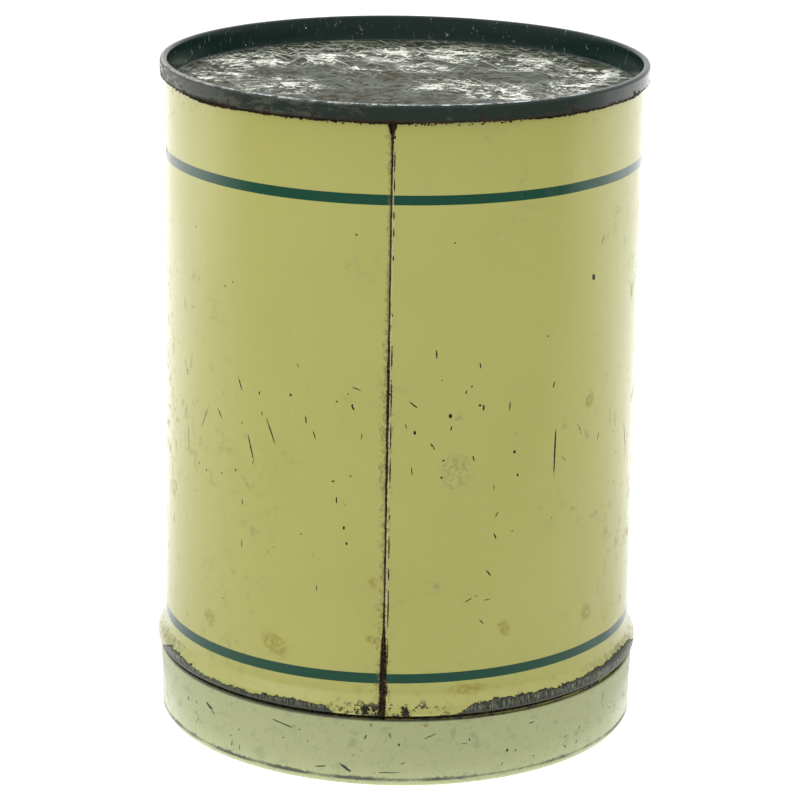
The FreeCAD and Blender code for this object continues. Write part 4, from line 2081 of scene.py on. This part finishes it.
@dataclass
class Studio:
    """The pale floor, the soft lights and the camera."""

    distance: float = 1.0612
    eye_height: float = 0.4109
    azimuth: float = 2.8
    pitch: float = 16.22
    roll: float = 0.906
    lens: float = 154.94
    floor_size: float = 12.0
    front_light: float = 0.70
    back_light: float = 1.0
    top_light: float = 0.45
    side_bias: float = 0.10
    seen_light: float = 1.15
    softboxes: tuple[Softbox, ...] = (
        Softbox("left_softbox", -60.0, 35.0, 1.2, 0.8, 0.8, 1.2),
    )

    def build_floor(self) -> None:
        """Lay the floor."""
        half = self.floor_size / 2.0
        mesh = bpy.data.meshes.new("floor")
        mesh.from_pydata(
            [(-half, -half, 0), (half, -half, 0), (half, half, 0), (-half, half, 0)], [], [(0, 1, 2, 3)]
        )
        mesh.materials.append(PaleFloor().build())
        floor = bpy.data.objects.new("floor", mesh)
        bpy.context.scene.collection.objects.link(floor)

    def build_world(self) -> None:
        """Light the room evenly, dimmer from the viewer's side and brighter from behind."""
        world = bpy.data.worlds.new("studio")
        world.use_nodes = True
        graph = Graph(world.node_tree)
        background = world.node_tree.nodes["Background"]
        sideways, facing, rising = graph.split(graph.node("ShaderNodeTexCoord").outputs["Generated"])
        level = graph.step(facing, -0.75, 0.45, self.front_light, self.back_light)
        level = level + graph.step(rising, 0.3, 0.9, 0.0, self.top_light)
        level = level * (1.0 - sideways * self.side_bias)
        seen = graph.node("ShaderNodeLightPath").outputs["Is Camera Ray"]
        graph.feed(background.inputs["Strength"], graph.between(seen, level, self.seen_light))
        background.inputs["Color"].default_value = (1.0, 1.0, 1.0, 1.0)
        bpy.context.scene.world = world

    def build_lights(self) -> None:
        """Place the soft lights, each aimed at the middle of the tin."""
        target = Vector((0.0, 0.0, 0.1))
        for box in self.softboxes:
            lamp = bpy.data.lights.new(box.name, "AREA")
            lamp.shape = "RECTANGLE"
            lamp.size, lamp.size_y = box.width, box.height
            lamp.energy = box.power
            turn, rise = math.radians(box.azimuth), math.radians(box.elevation)
            away = Vector(
                (math.sin(turn) * math.cos(rise), -math.cos(turn) * math.cos(rise), math.sin(rise))
            )
            light = bpy.data.objects.new(box.name, lamp)
            light.location = target + away * box.distance
            light.rotation_euler = (-away).to_track_quat("-Z", "Y").to_euler()
            light.visible_camera = False
            bpy.context.scene.collection.objects.link(light)

    def build_camera(self) -> None:
        """Stand the camera in front of the tin, looking down at it and slightly rolled."""
        camera = bpy.data.cameras.new("camera")
        camera.lens = self.lens
        camera.sensor_width = 36.0
        stand = bpy.data.objects.new("camera", camera)
        turn = Matrix.Rotation(math.radians(self.azimuth), 4, "Z")
        place = Matrix.Translation((0.0, -self.distance, self.eye_height))
        tilt = Matrix.Rotation(math.radians(90.0 - self.pitch), 4, "X")
        stand.matrix_world = turn @ place @ tilt @ Matrix.Rotation(math.radians(self.roll), 4, "Z")
        bpy.context.scene.collection.objects.link(stand)
        bpy.context.scene.camera = stand

    def build(self) -> None:
        """Set up the whole studio."""
        bpy.context.scene.view_settings.view_transform = "Standard"
        self.build_floor()
        self.build_world()
        self.build_lights()
        self.build_camera()
        LOG.info("studio: %d lights", len(self.softboxes))


def dress_wire() -> None:
    """Give the mouth wire, which keeps its CAD mesh, its material."""
    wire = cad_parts["mouth_wire"]
    wire.data.materials.clear()
    wire.data.materials.append(DrawnWire().build())
    LOG.info("%s: material set", wire.name)


def main() -> None:
    """Build the studio and every piece."""
    logging.basicConfig(level=logging.INFO, format="%(message)s")
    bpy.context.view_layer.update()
    Studio().build()
    gauge = Gauge()
    turned = TurnedSheet()
    tinplate = BareTinplate().build()
    body = TinBody(gauge)
    body.build(turned, BodyEnamel().build(), tinplate)
    body.build_solder(SolderBead(), RustySolder().build())
    body.build_crumbs(RustCrumbs(), RustySolder("rust_crust", grey_share=0.1).build())
    BaseEnd(gauge).build(turned, BaseLacquer().build(), tinplate)
    Lid(gauge).build(turned, LidEnamel().build(), tinplate)
    dress_wire()


if __name__ == "__main__":
    main()
